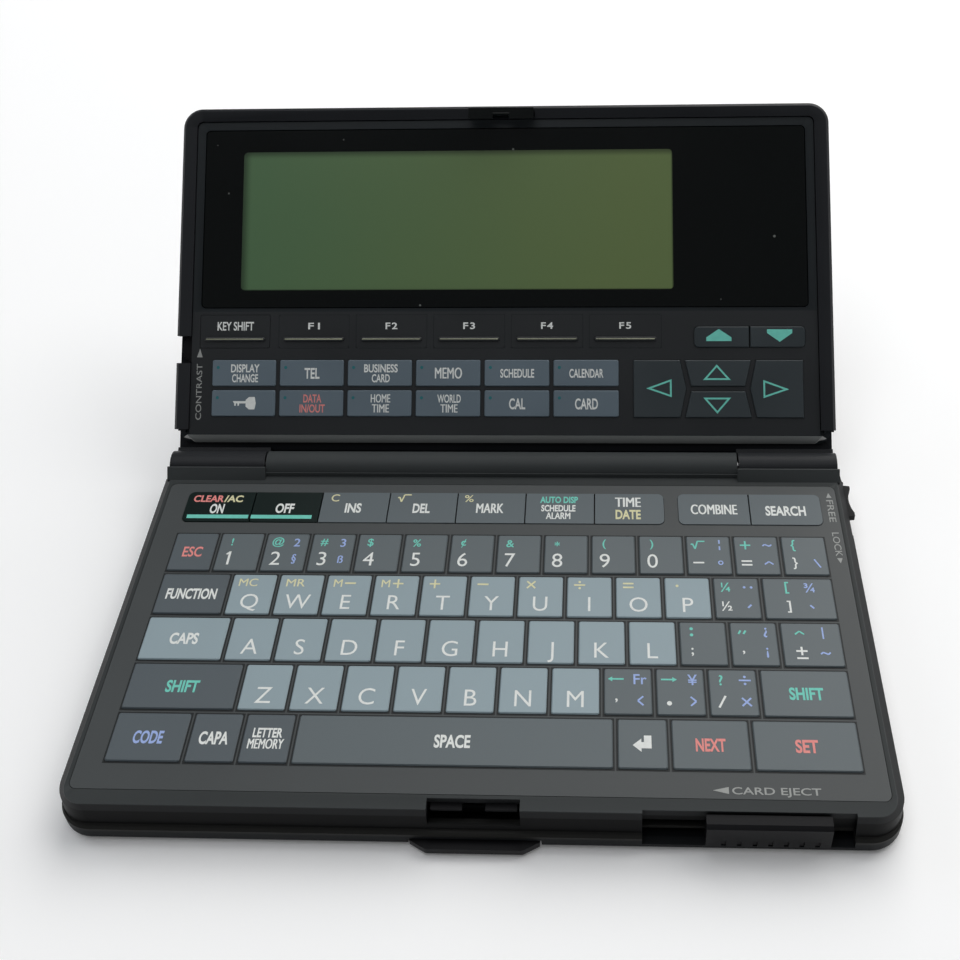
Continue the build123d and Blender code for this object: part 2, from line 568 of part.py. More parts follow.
# ---- lid shell ---------------------------------------------------------------------
LID_SCREWS = [(-71.2, 10.35), (72.0, 10.35), (-71.2, 79.5), (72.0, 79.5)]
LOW_SCREWS = LID_SCREWS[:2]
HIGH_SCREWS = LID_SCREWS[2:]
with BuildPart(LID) as lid_shell:
    with BuildSketch(LID.offset(LID_BACK)):
        with Locations((0, (RIM_END + LID_LENGTH) / 2)):
            outline = Rectangle(2 * LID_HALF_WIDTH, LID_LENGTH - RIM_END)
        fillet(outline.vertices().group_by(Axis.Y)[-1], 4.8)
    extrude(amount=LID_RIM - LID_BACK)
    back_edges = lid_shell.faces().sort_by(Axis((0, 0, 0), LID.z_dir))[0].edges()
    fillet(back_edges.sort_by(Axis((0, 0, 0), LID.y_dir))[1:], 1.8)
    rim_edges = lid_shell.faces().sort_by(Axis((0, 0, 0), LID.z_dir))[-1].edges()
    chamfer(rim_edges.sort_by(Axis((0, 0, 0), LID.y_dir))[1:], 0.7)
    # hinge end: a bar between the knuckle arms, then the arms and knuckles
    lid_profile([(9, -3.9), (3.4, -3.9), (0.8, -5.2), (0.8, -6.4), (2.6, LID_BACK), (9, LID_BACK)],
                -KNUCKLE_OUTER, KNUCKLE_OUTER)
    for x0, x1 in ((-KNUCKLE_OUTER, -KNUCKLE_INNER), (KNUCKLE_INNER, KNUCKLE_OUTER)):
        hinge_rod(x0, x1, HINGE_RADIUS)
        lid_profile([(9, -3.9), (2.3, -2.29), (0.3, -3.2), (0.3, -6.4), (2.1, LID_BACK), (9, LID_BACK)], x0, x1)
    # room inside
    plate(LID.offset(LID_BACK + LID_WALL), -POCKET_HALF, POCKET_HALF, RIM_END + 0.2, POCKET_TOP, 12, 1.5,
          Mode.SUBTRACT)
    block(-LID_HALF_WIDTH - 1, LID_HALF_WIDTH + 1, 4, RIM_END + 0.45, -3.85, 2, Mode.SUBTRACT)
    block(-POCKET_HALF, POCKET_HALF, RIM_END, 12, -3.85, 2, Mode.SUBTRACT)
    # bores for the hinge sleeves
    hinge_rod(-KNUCKLE_INNER - 8.4, -KNUCKLE_INNER + 0.1, 2.0, Mode.SUBTRACT)
    hinge_rod(KNUCKLE_INNER - 0.1, KNUCKLE_INNER + 8.4, 2.0, Mode.SUBTRACT)
    # socket for the hook in the rim
    block(-8.05, 8.05, 84.85, 86.45, -3.05, 2, Mode.SUBTRACT)
    # notch for the contrast wheel and the finger recess below it
    block(-82, -75.9, WHEEL_U - 3.6, WHEEL_U + 3.0, -4.7, 2, Mode.SUBTRACT)
    block(-82, -77.4, 14.0, WHEEL_U - 3.5, -4.7, -1.8, Mode.SUBTRACT)
    post(WHEEL_X, WHEEL_U, -4.8, -1.9, WHEEL_RADIUS + 0.5, Mode.SUBTRACT)
    # post that the contrast wheel turns on, and screw bosses
    post(WHEEL_X, WHEEL_U, LID_BACK + LID_WALL - 0.2, -4.8, 2.4)
    post(WHEEL_X, WHEEL_U, -4.9, -2.9, 1.0)
    for x, u in LID_SCREWS:
        post(x, u, LID_BACK + LID_WALL - 0.2, -3.85, 2.3)
        post(x, u, LID_BACK + LID_WALL, 0, 1.05, Mode.SUBTRACT)

# ---- lid inner frame, display and key sheet ----------------------------------------
with BuildPart(LID) as lid_frame:
    plate(LID.offset(-3.8), -FRAME_HALF, FRAME_HALF, RIM_END + 0.4, FRAME_TOP, LID_FACE + 3.8, 1.4)
    # bevelled bar along the hinge side, with mitred ends
    with BuildSketch(LID.offset(-3.8)):
        with BuildLine():
            Polyline((-78.6, RIM_END + 0.35), (-78.6, BEVEL_START), (-76.6, BEVEL_END), (76.6, BEVEL_END),
                     (78.6, BEVEL_START), (78.6, RIM_END + 0.35), close=True)
        make_face()
    extrude(amount=LID_FACE + 3.8)
    block(-FRAME_HALF, FRAME_HALF, RIM_END, RIM_END + 2, -3.8, LID_FACE)
    lid_profile([(BEVEL_START, LID_FACE), (BEVEL_END, -3.0), (BEVEL_END - 1, -3.0), (BEVEL_END - 1, 1),
                 (BEVEL_START, 1)], -80, 80, Mode.SUBTRACT)
    for side in (-1, 1):
        with BuildSketch(LID.offset(-2.2)):
            with BuildLine():
                Polyline((side * 74.6, BEVEL_END), (side * 79, BEVEL_START + 2.4), (side * 79, BEVEL_END), close=True)
            make_face()
        extrude(amount=3, mode=Mode.SUBTRACT)
    # seat and opening for the display
    plate(LID.offset(LID_FACE - 1), -WINDOW_HALF - 0.05, WINDOW_HALF + 0.05, WINDOW_LOW - 0.05,
          WINDOW_HIGH + 0.05, 2, 1.2, Mode.SUBTRACT)
    block(-68, 45.5, 39, 80.3, -5, 1, Mode.SUBTRACT)
    # seat for the key sheet, with room for the keys under it
    block(-FRAME_HALF - 1, FRAME_HALF + 1, SHEET_LOW, SHEET_HIGH, LID_SHEET_UNDER, 1, Mode.SUBTRACT)
    block(-75.0, 75.0, 8.4, 36.6, LID_BED, 1, Mode.SUBTRACT)
    # hole round the contrast wheel
    with Locations((WHEEL_X, WHEEL_U, -3)):
        Cylinder(WHEEL_RADIUS + 0.4, 6, mode=Mode.SUBTRACT)
    block(-80, WHEEL_X, WHEEL_U - 3.3, WHEEL_U + 2.9, -6, 2, Mode.SUBTRACT)
    for x, u in LID_SCREWS:
        post(x, u, -6, 2, 1.05, Mode.SUBTRACT)
    for x, u in HIGH_SCREWS:
        post(x, u, LID_FACE - 1.9, 2, 2.0, Mode.SUBTRACT)

with BuildPart(LID) as display_window:
    plate(LID.offset(LID_FACE - 1), -WINDOW_HALF, WINDOW_HALF, WINDOW_LOW, WINDOW_HIGH, 0.95, 1.1)

with BuildPart(LID) as lcd_glass:
    block(-67.5, 45.0, 39.4, 79.9, -3.3, LID_FACE - 1.2)
    block(-66.5, 44.0, 41.0, 78.5, -4.2, -3.3)

with BuildPart(LID) as lcd_strips:
    block(-66, 43.5, 39.4, 40.7, -5.0, -3.3)
    block(-66, 43.5, 78.8, 79.9, -5.0, -3.3)

with BuildPart(LID) as lid_board:
    block(-69.8, 75.4, 13.5, 83.5, -6.0, -5.0)
    block(-50, -38, 48, 60, -7.1, -6.0)
    block(-20, -8, 48, 60, -7.1, -6.0)
    block(10, 22, 48, 60, -7.1, -6.0)
    for x, u in HIGH_SCREWS:
        post(x, u, -8, 0, 2.7, Mode.SUBTRACT)

with BuildPart(LID) as lid_screws:
    for x, u in LOW_SCREWS:
        post(x, u, LID_BED, LID_BED + 0.45, 1.8)
        post(x, u, -6.9, LID_BED, 1.0)
    for x, u in HIGH_SCREWS:
        post(x, u, LID_FACE - 1.9, LID_FACE - 1.1, 1.9)
        post(x, u, -6.9, LID_FACE - 1.9, 1.0)

with BuildPart(LID) as lid_hook:
    # root in the rim, stem, and a nose that the latch's tongues hold
    block(-7.95, 7.95, 84.9, 86.4, -3.0, 3.4)
    for x0, x1 in ((-7.95, -2.0), (2.0, 7.95)):
        block(x0, x1, 83.7, 84.9, 2.5, 3.4)
    fillet(lid_hook.edges().filter_by(Axis.X).sort_by(Axis((0, 0, 0), LID.z_dir))[-1:], 0.5)

# the lid's key sheet, with an opening for every key
page_split = (PAGE_LEFT + PAGE_RIGHT) / 2
with BuildPart(LID) as lid_key_sheet:
    block(-FRAME_HALF, FRAME_HALF, SHEET_LOW, SHEET_HIGH, LID_SHEET_UNDER, LID_FACE)
    with BuildSketch(LID.offset(LID_SHEET_UNDER)):
        for x, u in mode_pads():
            with Locations((x, u)):
                RectangleRounded(MODE_WIDTH + 2 * KEY_CLEARANCE, MODE_DEPTH + 2 * KEY_CLEARANCE, 0.5)
        for x in SOFT_X:
            with Locations((x, (SOFT_LOW + SOFT_HIGH) / 2)):
                RectangleRounded(SOFT_WIDTH + 2 * KEY_CLEARANCE, SOFT_HIGH - SOFT_LOW + 2 * KEY_CLEARANCE, 0.5)
        with Locations((page_split, (PAGE_LOW + PAGE_HIGH) / 2)):
            RectangleRounded(PAGE_RIGHT - PAGE_LEFT + 2 * KEY_CLEARANCE,
                             PAGE_HIGH - PAGE_LOW + 2 * KEY_CLEARANCE, 1.2)
        for name in ARROW_KEYS:
            with BuildLine():
                Polyline(*arrow_outline(name), close=True)
            make_face()
    extrude(amount=1, mode=Mode.SUBTRACT)

with BuildPart(LID) as lid_keypad_mat:
    block(-70.0, 74.8, 8.6, 36.4, LID_BED, LID_MAT_TOP)
    for x, u in LOW_SCREWS:
        post(x, u, -6, 2, 2.3, Mode.SUBTRACT)

with BuildPart(LID) as contrast_wheel:
    post(WHEEL_X, WHEEL_U, WHEEL_LOW, WHEEL_HIGH, WHEEL_RADIUS)
    # knurling round the rim
    with BuildSketch(LID.offset(WHEEL_LOW)):
        with Locations((WHEEL_X, WHEEL_U)):
            with PolarLocations(WHEEL_RADIUS, 24):
                Rectangle(0.5, 0.45)
    extrude(amount=WHEEL_HIGH - WHEEL_LOW, mode=Mode.SUBTRACT)
    post(WHEEL_X, WHEEL_U, -5, -2, 1.05, Mode.SUBTRACT)


def finish_lid_keys(keys):
    """Chamfer the raised faces of lid keys."""
    top = keys.faces().group_by(Axis((0, 0, 0), LID.z_dir))[-1]
    chamfer(top.edges(), 0.2)


with BuildPart(LID) as mode_keys:
    for x, u in mode_pads():
        block(x - MODE_WIDTH / 2 - FLANGE, x + MODE_WIDTH / 2 + FLANGE, u - MODE_DEPTH / 2 - FLANGE,
              u + MODE_DEPTH / 2 + FLANGE, LID_FLANGE, LID_FLANGE + FLANGE_THICKNESS)
    with BuildSketch(LID.offset(LID_FLANGE)):
        for x, u in mode_pads():
            with Locations((x, u)):
                RectangleRounded(MODE_WIDTH, MODE_DEPTH, 0.45)
    extrude(amount=LID_FACE + KEY_HEIGHT - LID_FLANGE)
    finish_lid_keys(mode_keys)


def build_soft_keys(centres):
    """Flat pads, each with a raised half-round bar."""
    with BuildPart(LID) as keys:
        for x in centres:
            half = SOFT_WIDTH / 2
            block(x - half - FLANGE, x + half + FLANGE, SOFT_LOW - FLANGE, SOFT_HIGH + 0.1, LID_FLANGE,
                  LID_FLANGE + FLANGE_THICKNESS)
            plate(LID.offset(LID_FLANGE), x - half, x + half, SOFT_LOW, SOFT_HIGH, LID_FACE - LID_FLANGE, 0.45)
            with BuildSketch(LID.offset(LID_FACE - 0.1)):
                with Locations((x, BAR_U)):
                    SlotOverall(BAR_LENGTH, BAR_WIDTH)
            extrude(amount=BAR_HEIGHT + 0.1)
        top = keys.faces().group_by(Axis((0, 0, 0), LID.z_dir))[-1]
        fillet(top.edges(), 0.3)
    return keys


key_soft_shift = build_soft_keys(SOFT_X[:1])
soft_keys = build_soft_keys(SOFT_X[1:])

with BuildPart(LID) as page_keys:
    for x0, x1, first in ((PAGE_LEFT, page_split - 0.15, True), (page_split + 0.15, PAGE_RIGHT, False)):
        block(x0 - (FLANGE if first else 0), x1 + (0 if first else FLANGE), PAGE_LOW - FLANGE, PAGE_HIGH + FLANGE,
              LID_FLANGE, LID_FLANGE + FLANGE_THICKNESS)
        with BuildSketch(LID.offset(LID_FLANGE)):
            with Locations(((x0 + x1) / 2, (PAGE_LOW + PAGE_HIGH) / 2)):
                pad = Rectangle(x1 - x0, PAGE_HIGH - PAGE_LOW)
            fillet(pad.vertices().group_by(Axis.X)[0 if first else -1], 1.1)
        extrude(amount=LID_FACE + KEY_HEIGHT - LID_FLANGE)
    finish_lid_keys(page_keys)


def build_arrow_key(name):
    """One key of the arrow pad, held clear of its opening and its neighbours."""
    with BuildPart(LID) as key:
        with BuildSketch(LID.offset(LID_FLANGE)):
            with BuildLine():
                Polyline(*arrow_outline(name), close=True)
            make_face()
            offset(amount=-KEY_CLEARANCE, kind=Kind.INTERSECTION)
        extrude(amount=LID_FACE + KEY_HEIGHT - LID_FLANGE)
        finish_lid_keys(key)
        with BuildSketch(LID.offset(LID_FLANGE)):
            with BuildLine():
                Polyline(*arrow_outline(name), close=True)
            make_face()
            offset(amount=FLANGE - KEY_CLEARANCE, kind=Kind.INTERSECTION)
        extrude(amount=FLANGE_THICKNESS)
    return key


# ---- write the files ---------------------------------------------------------------
FIXED_AND_MOVING = {
    "bottom_case": bottom_case, "top_frame": top_frame, "keyboard_panel": keyboard_panel,
    "keypad_mat": keypad_mat, "main_board": main_board, "main_chips": main_chips, "card_guide": card_guide,
    "card_connector": card_connector, "battery_cover": battery_cover, "coin_cells": coin_cells,
    "battery_contacts": battery_contacts, "case_screws": case_screws, "rubber_feet": rubber_feet,
    "buzzer": buzzer, "data_jack": data_jack, "hinge_pins": hinge_pins, "hinge_sleeves": hinge_sleeves,
    "flex_cable": flex_cable, "eject_slider": eject_slider, "lock_switch": lock_switch,
    "release_latch": release_latch, "latch_spring": latch_spring, "lid_shell": lid_shell,
    "lid_frame": lid_frame, "display_window": display_window, "lcd_glass": lcd_glass,
    "lcd_strips": lcd_strips, "lid_board": lid_board, "lid_screws": lid_screws, "lid_hook": lid_hook,
    "lid_key_sheet": lid_key_sheet, "lid_keypad_mat": lid_keypad_mat, "contrast_wheel": contrast_wheel,
    "mode_keys": mode_keys, "key_soft_shift": key_soft_shift, "soft_keys": soft_keys, "page_keys": page_keys,
}
for name, builder in FIXED_AND_MOVING.items():
    save(builder, name)
for name in sorted({pad[0] for pad in base_pads}):
    save(build_base_keys(name), name)
for name in sorted({pad[0] for pad in sign_pads}):
    save(build_sign_keys(name), name)
for name in ARROW_KEYS:
    save(build_arrow_key(name), name)
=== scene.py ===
import math

import bmesh
import bpy
from mathutils import Matrix, Vector


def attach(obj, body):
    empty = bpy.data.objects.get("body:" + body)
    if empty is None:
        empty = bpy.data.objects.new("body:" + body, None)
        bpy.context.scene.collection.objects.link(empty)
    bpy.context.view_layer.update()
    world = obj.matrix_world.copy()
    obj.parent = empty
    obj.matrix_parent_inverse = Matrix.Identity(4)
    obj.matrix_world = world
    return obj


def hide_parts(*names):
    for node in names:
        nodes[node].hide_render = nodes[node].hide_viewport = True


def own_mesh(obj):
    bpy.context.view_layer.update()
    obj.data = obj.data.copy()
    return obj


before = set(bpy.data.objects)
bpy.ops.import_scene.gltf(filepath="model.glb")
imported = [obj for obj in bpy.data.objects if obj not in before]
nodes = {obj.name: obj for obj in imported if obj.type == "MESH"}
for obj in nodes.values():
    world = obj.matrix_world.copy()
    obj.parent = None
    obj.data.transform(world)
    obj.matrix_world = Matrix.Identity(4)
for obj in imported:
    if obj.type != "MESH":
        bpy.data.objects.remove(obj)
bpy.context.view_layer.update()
MM = 0.001

# Places on the organizer, in millimetres, as part.py has them.
DECK_Z = 10.0
KEY_TOP = DECK_Z + 0.35
SIGN_TOP = DECK_Z + 0.2
HINGE_Y = 44.3
HINGE_Z = 10.0
TILT = math.radians(45.3)
LID_FACE = -1.0
LID_KEY_TOP = LID_FACE + 0.35
INK = 0.02  # legends lie this far above their surface
SOFT_X = (-45.9, -26.85, -7.85, 11.1, 30.0)  # centres of the soft keys
SCREEN = (-64.3, 41.7, 42.3, 76.7)  # left, right, low and high edges of the clear part of the window


# ---- camera and lamps --------------------------------------------------------------
def add_camera():
    """The photographing camera, from its axes and place in metres."""
    data = bpy.data.cameras.new("camera")
    data.sensor_width = 36
    data.lens = 47.7
    data.shift_x = -0.0637
    data.shift_y = -0.2334
    data.clip_start = 0.01
    cam = bpy.data.objects.new("camera", data)
    right = Vector((0.99875, 0.0361, -0.03455))
    up = Vector((0.00459, 0.62214, 0.78289))
    back = -Vector((-0.04976, 0.78208, -0.62119))
    cam.matrix_world = Matrix((
        (right.x, up.x, back.x, 0.02508),
        (right.y, up.y, back.y, -0.16192),
        (right.z, up.z, back.z, 0.23775),
        (0, 0, 0, 1),
    ))
    bpy.context.scene.collection.objects.link(cam)
    bpy.context.scene.camera = cam


def area_light(name, place, target, size, power, color):
    """A soft rectangular lamp at a place, aimed at a target, both in metres."""
    data = bpy.data.lights.new(name, "AREA")
    data.shape = "RECTANGLE"
    data.size = size[0]
    data.size_y = size[1]
    data.energy = power
    data.color = color
    lamp = bpy.data.objects.new(name, data)
    lamp.location = place
    aim = Vector(target) - Vector(place)
    lamp.rotation_euler = aim.to_track_quat("-Z", "Y").to_euler()
    bpy.context.scene.collection.objects.link(lamp)


add_camera()


# ---- materials ---------------------------------------------------------------------
def new_material(name, color, rough, specular=0.5, metal=0.0):
    """A material with the shader's basic values. It comes with its node tree and its shader."""
    mat = bpy.data.materials.new(name)
    mat.use_nodes = True
    shader = mat.node_tree.nodes["Principled BSDF"]
    shader.inputs["Base Color"].default_value = (*color, 1)
    shader.inputs["Roughness"].default_value = rough
    shader.inputs["Metallic"].default_value = metal
    shader.inputs["Specular IOR Level"].default_value = specular
    return mat, mat.node_tree, shader


def plastic(name, color, rough=0.5, grain=2600.0, depth=0.12, vary=0.08, specular=0.5, metal=0.0,
            pale_edges=0.0):
    """Moulded plastic or plain metal: a fine grain, slow changes in colour and gloss, and paler sharp outer edges.
    """
    mat, tree, shader = new_material(name, color, rough, specular, metal)
    add, link = tree.nodes.new, tree.links.new
    coord = add("ShaderNodeTexCoord")
    cloud = add("ShaderNodeTexNoise")
    cloud.inputs["Scale"].default_value = 55
    cloud.inputs["Detail"].default_value = 5
    link(coord.outputs["Object"], cloud.inputs["Vector"])
    tone = add("ShaderNodeValToRGB")
    tone.color_ramp.elements[0].position = 0.3
    tone.color_ramp.elements[1].position = 0.7
    tone.color_ramp.elements[0].color = (*[c * (1 - vary) for c in color], 1)
    tone.color_ramp.elements[1].color = (*[min(1, c * (1 + vary)) for c in color], 1)
    link(cloud.outputs["Fac"], tone.inputs["Fac"])
    tint = tone.outputs["Color"]
    # the sharp outer edges, found by pointiness, are mixed towards a paler colour
    if pale_edges:
        geometry = add("ShaderNodeNewGeometry")
        edge = add("ShaderNodeMapRange")
        edge.inputs["From Min"].default_value = 0.52
        edge.inputs["From Max"].default_value = 0.62
        edge.inputs["To Max"].default_value = pale_edges
        link(geometry.outputs["Pointiness"], edge.inputs["Value"])
        pale_edge = add("ShaderNodeMix")
        pale_edge.data_type = "RGBA"
        link(edge.outputs["Result"], pale_edge.inputs["Factor"])
        link(tint, pale_edge.inputs["A"])
        pale_edge.inputs["B"].default_value = (*[min(1, c * 2.2 + 0.05) for c in color], 1)
        tint = pale_edge.outputs["Result"]
    link(tint, shader.inputs["Base Color"])
    gloss = add("ShaderNodeMapRange")
    gloss.inputs["To Min"].default_value = max(0.02, rough - 0.05)
    gloss.inputs["To Max"].default_value = min(1, rough + 0.07)
    link(cloud.outputs["Fac"], gloss.inputs["Value"])
    link(gloss.outputs["Result"], shader.inputs["Roughness"])
    fine = add("ShaderNodeTexNoise")
    fine.inputs["Scale"].default_value = grain
    fine.inputs["Detail"].default_value = 2
    link(coord.outputs["Object"], fine.inputs["Vector"])
    bump = add("ShaderNodeBump")
    bump.inputs["Strength"].default_value = depth
    bump.inputs["Distance"].default_value = 0.00006
    link(fine.outputs["Fac"], bump.inputs["Height"])
    link(bump.outputs["Normal"], shader.inputs["Normal"])
    return mat


def glossy_window(name):
    """Black printed acrylic with dust specks on it."""
    mat, tree, shader = new_material(name, (0.006, 0.008, 0.008), 0.08, 0.5)
    add, link = tree.nodes.new, tree.links.new
    coord = add("ShaderNodeTexCoord")
    specks = add("ShaderNodeTexVoronoi")
    specks.inputs["Scale"].default_value = 130
    link(coord.outputs["Object"], specks.inputs["Vector"])
    dots = add("ShaderNodeMapRange")
    dots.inputs["From Min"].default_value = 0.05
    dots.inputs["From Max"].default_value = 0.025
    link(specks.outputs["Distance"], dots.inputs["Value"])
    smear = add("ShaderNodeTexNoise")
    smear.inputs["Scale"].default_value = 40
    smear.inputs["Detail"].default_value = 6
    link(coord.outputs["Object"], smear.inputs["Vector"])
    film = add("ShaderNodeMapRange")
    film.inputs["To Min"].default_value = 0.04
    film.inputs["To Max"].default_value = 0.16
    link(smear.outputs["Fac"], film.inputs["Value"])
    link(film.outputs["Result"], shader.inputs["Roughness"])
    dust = add("ShaderNodeMix")
    dust.data_type = "RGBA"
    dust.inputs["A"].default_value = (0.002, 0.003, 0.003, 1)
    dust.inputs["B"].default_value = (0.16, 0.17, 0.16, 1)
    link(dots.outputs["Result"], dust.inputs["Factor"])
    link(dust.outputs["Result"], shader.inputs["Base Color"])
    return mat


def lcd_material(name):
    """Grey-green display glass: a little uneven, under a glossy window."""
    mat, tree, shader = new_material(name, (0.11, 0.16, 0.10), 0.28, 0.4)
    add, link = tree.nodes.new, tree.links.new
    coord = add("ShaderNodeTexCoord")
    haze = add("ShaderNodeTexNoise")
    haze.inputs["Scale"].default_value = 14
    haze.inputs["Detail"].default_value = 4
    link(coord.outputs["Object"], haze.inputs["Vector"])
    tone = add("ShaderNodeValToRGB")
    tone.color_ramp.elements[0].position = 0.25
    tone.color_ramp.elements[1].position = 0.75
    tone.color_ramp.elements[0].color = (0.135, 0.205, 0.135, 1)
    tone.color_ramp.elements[1].color = (0.165, 0.215, 0.125, 1)
    link(haze.outputs["Fac"], tone.inputs["Fac"])
    link(tone.outputs["Color"], shader.inputs["Base Color"])
    return mat


def ink(name, color):
    """Screen-printed legend ink, slightly uneven."""
    mat, tree, shader = new_material(name, color, 0.55, 0.3)
    add, link = tree.nodes.new, tree.links.new
    coord = add("ShaderNodeTexCoord")
    grain = add("ShaderNodeTexNoise")
    grain.inputs["Scale"].default_value = 900
    link(coord.outputs["Object"], grain.inputs["Vector"])
    tone = add("ShaderNodeValToRGB")
    tone.color_ramp.elements[0].color = (*[c * 0.86 for c in color], 1)
    tone.color_ramp.elements[1].color = (*[min(1, c * 1.06) for c in color], 1)
    link(grain.outputs["Fac"], tone.inputs["Fac"])
    link(tone.outputs["Color"], shader.inputs["Base Color"])
    return mat


MATS = {
    "shell": plastic("shell_black", (0.006, 0.007, 0.009), 0.36, 1500, 0.10, 0.10, 0.14, pale_edges=0.3),
    "deck": plastic("deck_charcoal", (0.034, 0.038, 0.039), 0.45, 2200, 0.20, 0.06, 0.10, pale_edges=0.15),
    "bottom": plastic("bottom_black", (0.006, 0.007, 0.008), 0.42, 1800, 0.25, 0.08, 0.06, pale_edges=0.15),
    "panel": plastic("panel_grey", (0.040, 0.046, 0.048), 0.50, 2600, 0.16, 0.05, 0.45),
    "sign": plastic("sign_key_grey", (0.090, 0.112, 0.124), 0.50, 2600, 0.12, 0.04, 0.45),
    "key_light": plastic("key_light", (0.190, 0.248, 0.275), 0.50, 2600, 0.14, 0.04, pale_edges=0.25),
    "key_mid": plastic("key_mid", (0.060, 0.077, 0.085), 0.50, 2600, 0.14, 0.04, pale_edges=0.25),
    "key_dark": plastic("key_dark", (0.044, 0.058, 0.068), 0.50, 2600, 0.14, 0.04, pale_edges=0.25),
    "key_black": plastic("key_black", (0.005, 0.012, 0.011), 0.32, 2000, 0.06, 0.06, 0.12),
    "moving_black": plastic("moving_black", (0.004, 0.004, 0.005), 0.36, 1500, 0.12, 0.08, 0.08, pale_edges=0.15),
    "slate": plastic("slate_frame", (0.008, 0.011, 0.013), 0.42, 2200, 0.14, 0.06, 0.22, pale_edges=0.2),
    "lid_sheet": plastic("lid_sheet", (0.009, 0.011, 0.013), 0.46, 2400, 0.14, 0.05),
    "mode": plastic("mode_key", (0.098, 0.132, 0.160), 0.45, 2400, 0.14, 0.05, pale_edges=0.3),
    "arrow": plastic("arrow_key", (0.011, 0.018, 0.022), 0.44, 2400, 0.14, 0.05, pale_edges=0.3),
    "window": glossy_window("window_black"),
    "lcd": lcd_material("lcd_panel"),
    "rubber": plastic("rubber_grey", (0.05, 0.05, 0.05), 0.85, 900, 0.5, 0.1, 0.2),
    "zebra": plastic("zebra_rubber", (0.30, 0.22, 0.22), 0.8, 3000, 0.4, 0.2, 0.2),
    "circuit": plastic("circuit_green", (0.010, 0.075, 0.028), 0.35, 700, 0.3, 0.25),
    "chip": plastic("chip_black", (0.015, 0.015, 0.016), 0.6, 1800, 0.3, 0.05),
    "steel": plastic("steel", (0.55, 0.55, 0.56), 0.28, 900, 0.2, 0.05, 0.5, 1.0),
    "brass": plastic("brass", (0.60, 0.42, 0.16), 0.3, 900, 0.2, 0.06, 0.5, 1.0),
    "cable": plastic("flex_cable", (0.38, 0.16, 0.03), 0.3, 1200, 0.1, 0.1),
}


def painted_shade_by_height(mat, shade_tones):
    """Paint a material darker below some heights in metres, named from the highest down: painted shade on its
    lower faces.
    """
    tree = mat.node_tree
    shader = tree.nodes["Principled BSDF"]
    add, link = tree.nodes.new, tree.links.new
    coord = add("ShaderNodeTexCoord")
    axes = add("ShaderNodeSeparateXYZ")
    link(coord.outputs["Object"], axes.inputs["Vector"])
    color = shader.inputs["Base Color"].links[0].from_socket
    for height, tone in shade_tones:
        edge = add("ShaderNodeMapRange")
        edge.inputs["From Min"].default_value = height - 0.0001
        edge.inputs["From Max"].default_value = height + 0.0001
        link(axes.outputs["Z"], edge.inputs["Value"])
        mixed = add("ShaderNodeMix")
        mixed.data_type = "RGBA"
        mixed.inputs["A"].default_value = (*tone, 1)
        link(edge.outputs["Result"], mixed.inputs["Factor"])
        link(color, mixed.inputs["B"])
        color = mixed.outputs["Result"]
    link(color, shader.inputs["Base Color"])


# painted shade below each height, from the top down: upper slope, lower slope, ledge
painted_shade_by_height(MATS["deck"], [(0.0098, (0.014, 0.015, 0.016)), (0.0081, (0.0015, 0.0017, 0.002)),
                               (0.0048, (0.016, 0.016, 0.015))])
INKS = {
    "white": ink("ink_white", (0.78, 0.80, 0.78)),
    "grey": ink("ink_grey", (0.33, 0.34, 0.33)),
    "teal": ink("ink_teal", (0.17, 0.62, 0.52)),
    "yellow": ink("ink_yellow", (0.72, 0.69, 0.42)),
    "blue": ink("ink_blue", (0.34, 0.45, 0.78)),
    "red": ink("ink_red", (0.80, 0.27, 0.25)),
    "dim_teal": ink("ink_dim_teal", (0.02, 0.16, 0.18)),
    "seam": ink("ink_painted_gap_shade", (0.008, 0.010, 0.011)),
    "dim_line": ink("ink_dim_line", (0.012, 0.015, 0.017)),
}
FINISH = {
    "bottom_case": "bottom", "top_frame": "deck", "keyboard_panel": "panel", "keypad_mat": "rubber",
    "main_board": "circuit", "main_chips": "chip", "card_guide": "bottom", "card_connector": "chip",
    "battery_cover": "bottom", "coin_cells": "steel", "battery_contacts": "steel", "case_screws": "steel",
    "rubber_feet": "rubber", "buzzer": "brass", "data_jack": "steel", "hinge_pins": "steel",
    "hinge_sleeves": "brass", "flex_cable": "cable", "eject_slider": "moving_black",
    "lock_switch": "moving_black", "release_latch": "moving_black", "latch_spring": "steel",
    "lid_shell": "shell", "lid_frame": "slate", "display_window": "window", "lcd_glass": "lcd",
    "lcd_strips": "zebra", "lid_board": "circuit", "lid_screws": "steel", "lid_hook": "window",
    "lid_key_sheet": "lid_sheet", "lid_keypad_mat": "rubber", "contrast_wheel": "moving_black",
    "mode_keys": "mode", "key_soft_shift": "lid_sheet", "soft_keys": "lid_sheet", "page_keys": "arrow",
    "key_left": "arrow", "key_right": "arrow", "key_up": "arrow", "key_down": "arrow",
    "number_keys": "key_mid", "symbol_keys": "key_mid", "key_esc": "key_dark", "key_function": "key_dark",
    "key_shift_left": "key_dark", "key_shift_right": "key_mid", "code_keys": "key_dark",
    "key_return": "key_mid", "key_next": "key_mid", "key_set": "key_mid", "key_space": "key_mid",
    "key_caps": "key_light", "top_letter_keys": "key_light", "middle_letter_keys": "key_light",
    "bottom_letter_keys": "key_light", "key_on": "key_black", "key_off": "key_black",
    "edit_keys": "sign", "search_keys": "sign",
}
for name, obj in nodes.items():
    obj.data.materials.clear()
    obj.data.materials.append(MATS[FINISH[name]])


# ---- placing flat print on the base and the lid ------------------------------------
def base_point(x, y, height):
    """A point of the base: across, towards the hinge, and up from the table."""
    return Vector((x, y, height)) * MM


def lid_point(x, u, height):
    """A point of the lid: across, up from the hinge axis, and towards the user."""
    y = HINGE_Y + u * math.cos(TILT) - height * math.sin(TILT)
    z = HINGE_Z + u * math.sin(TILT) + height * math.cos(TILT)
    return Vector((x, y, z)) * MM


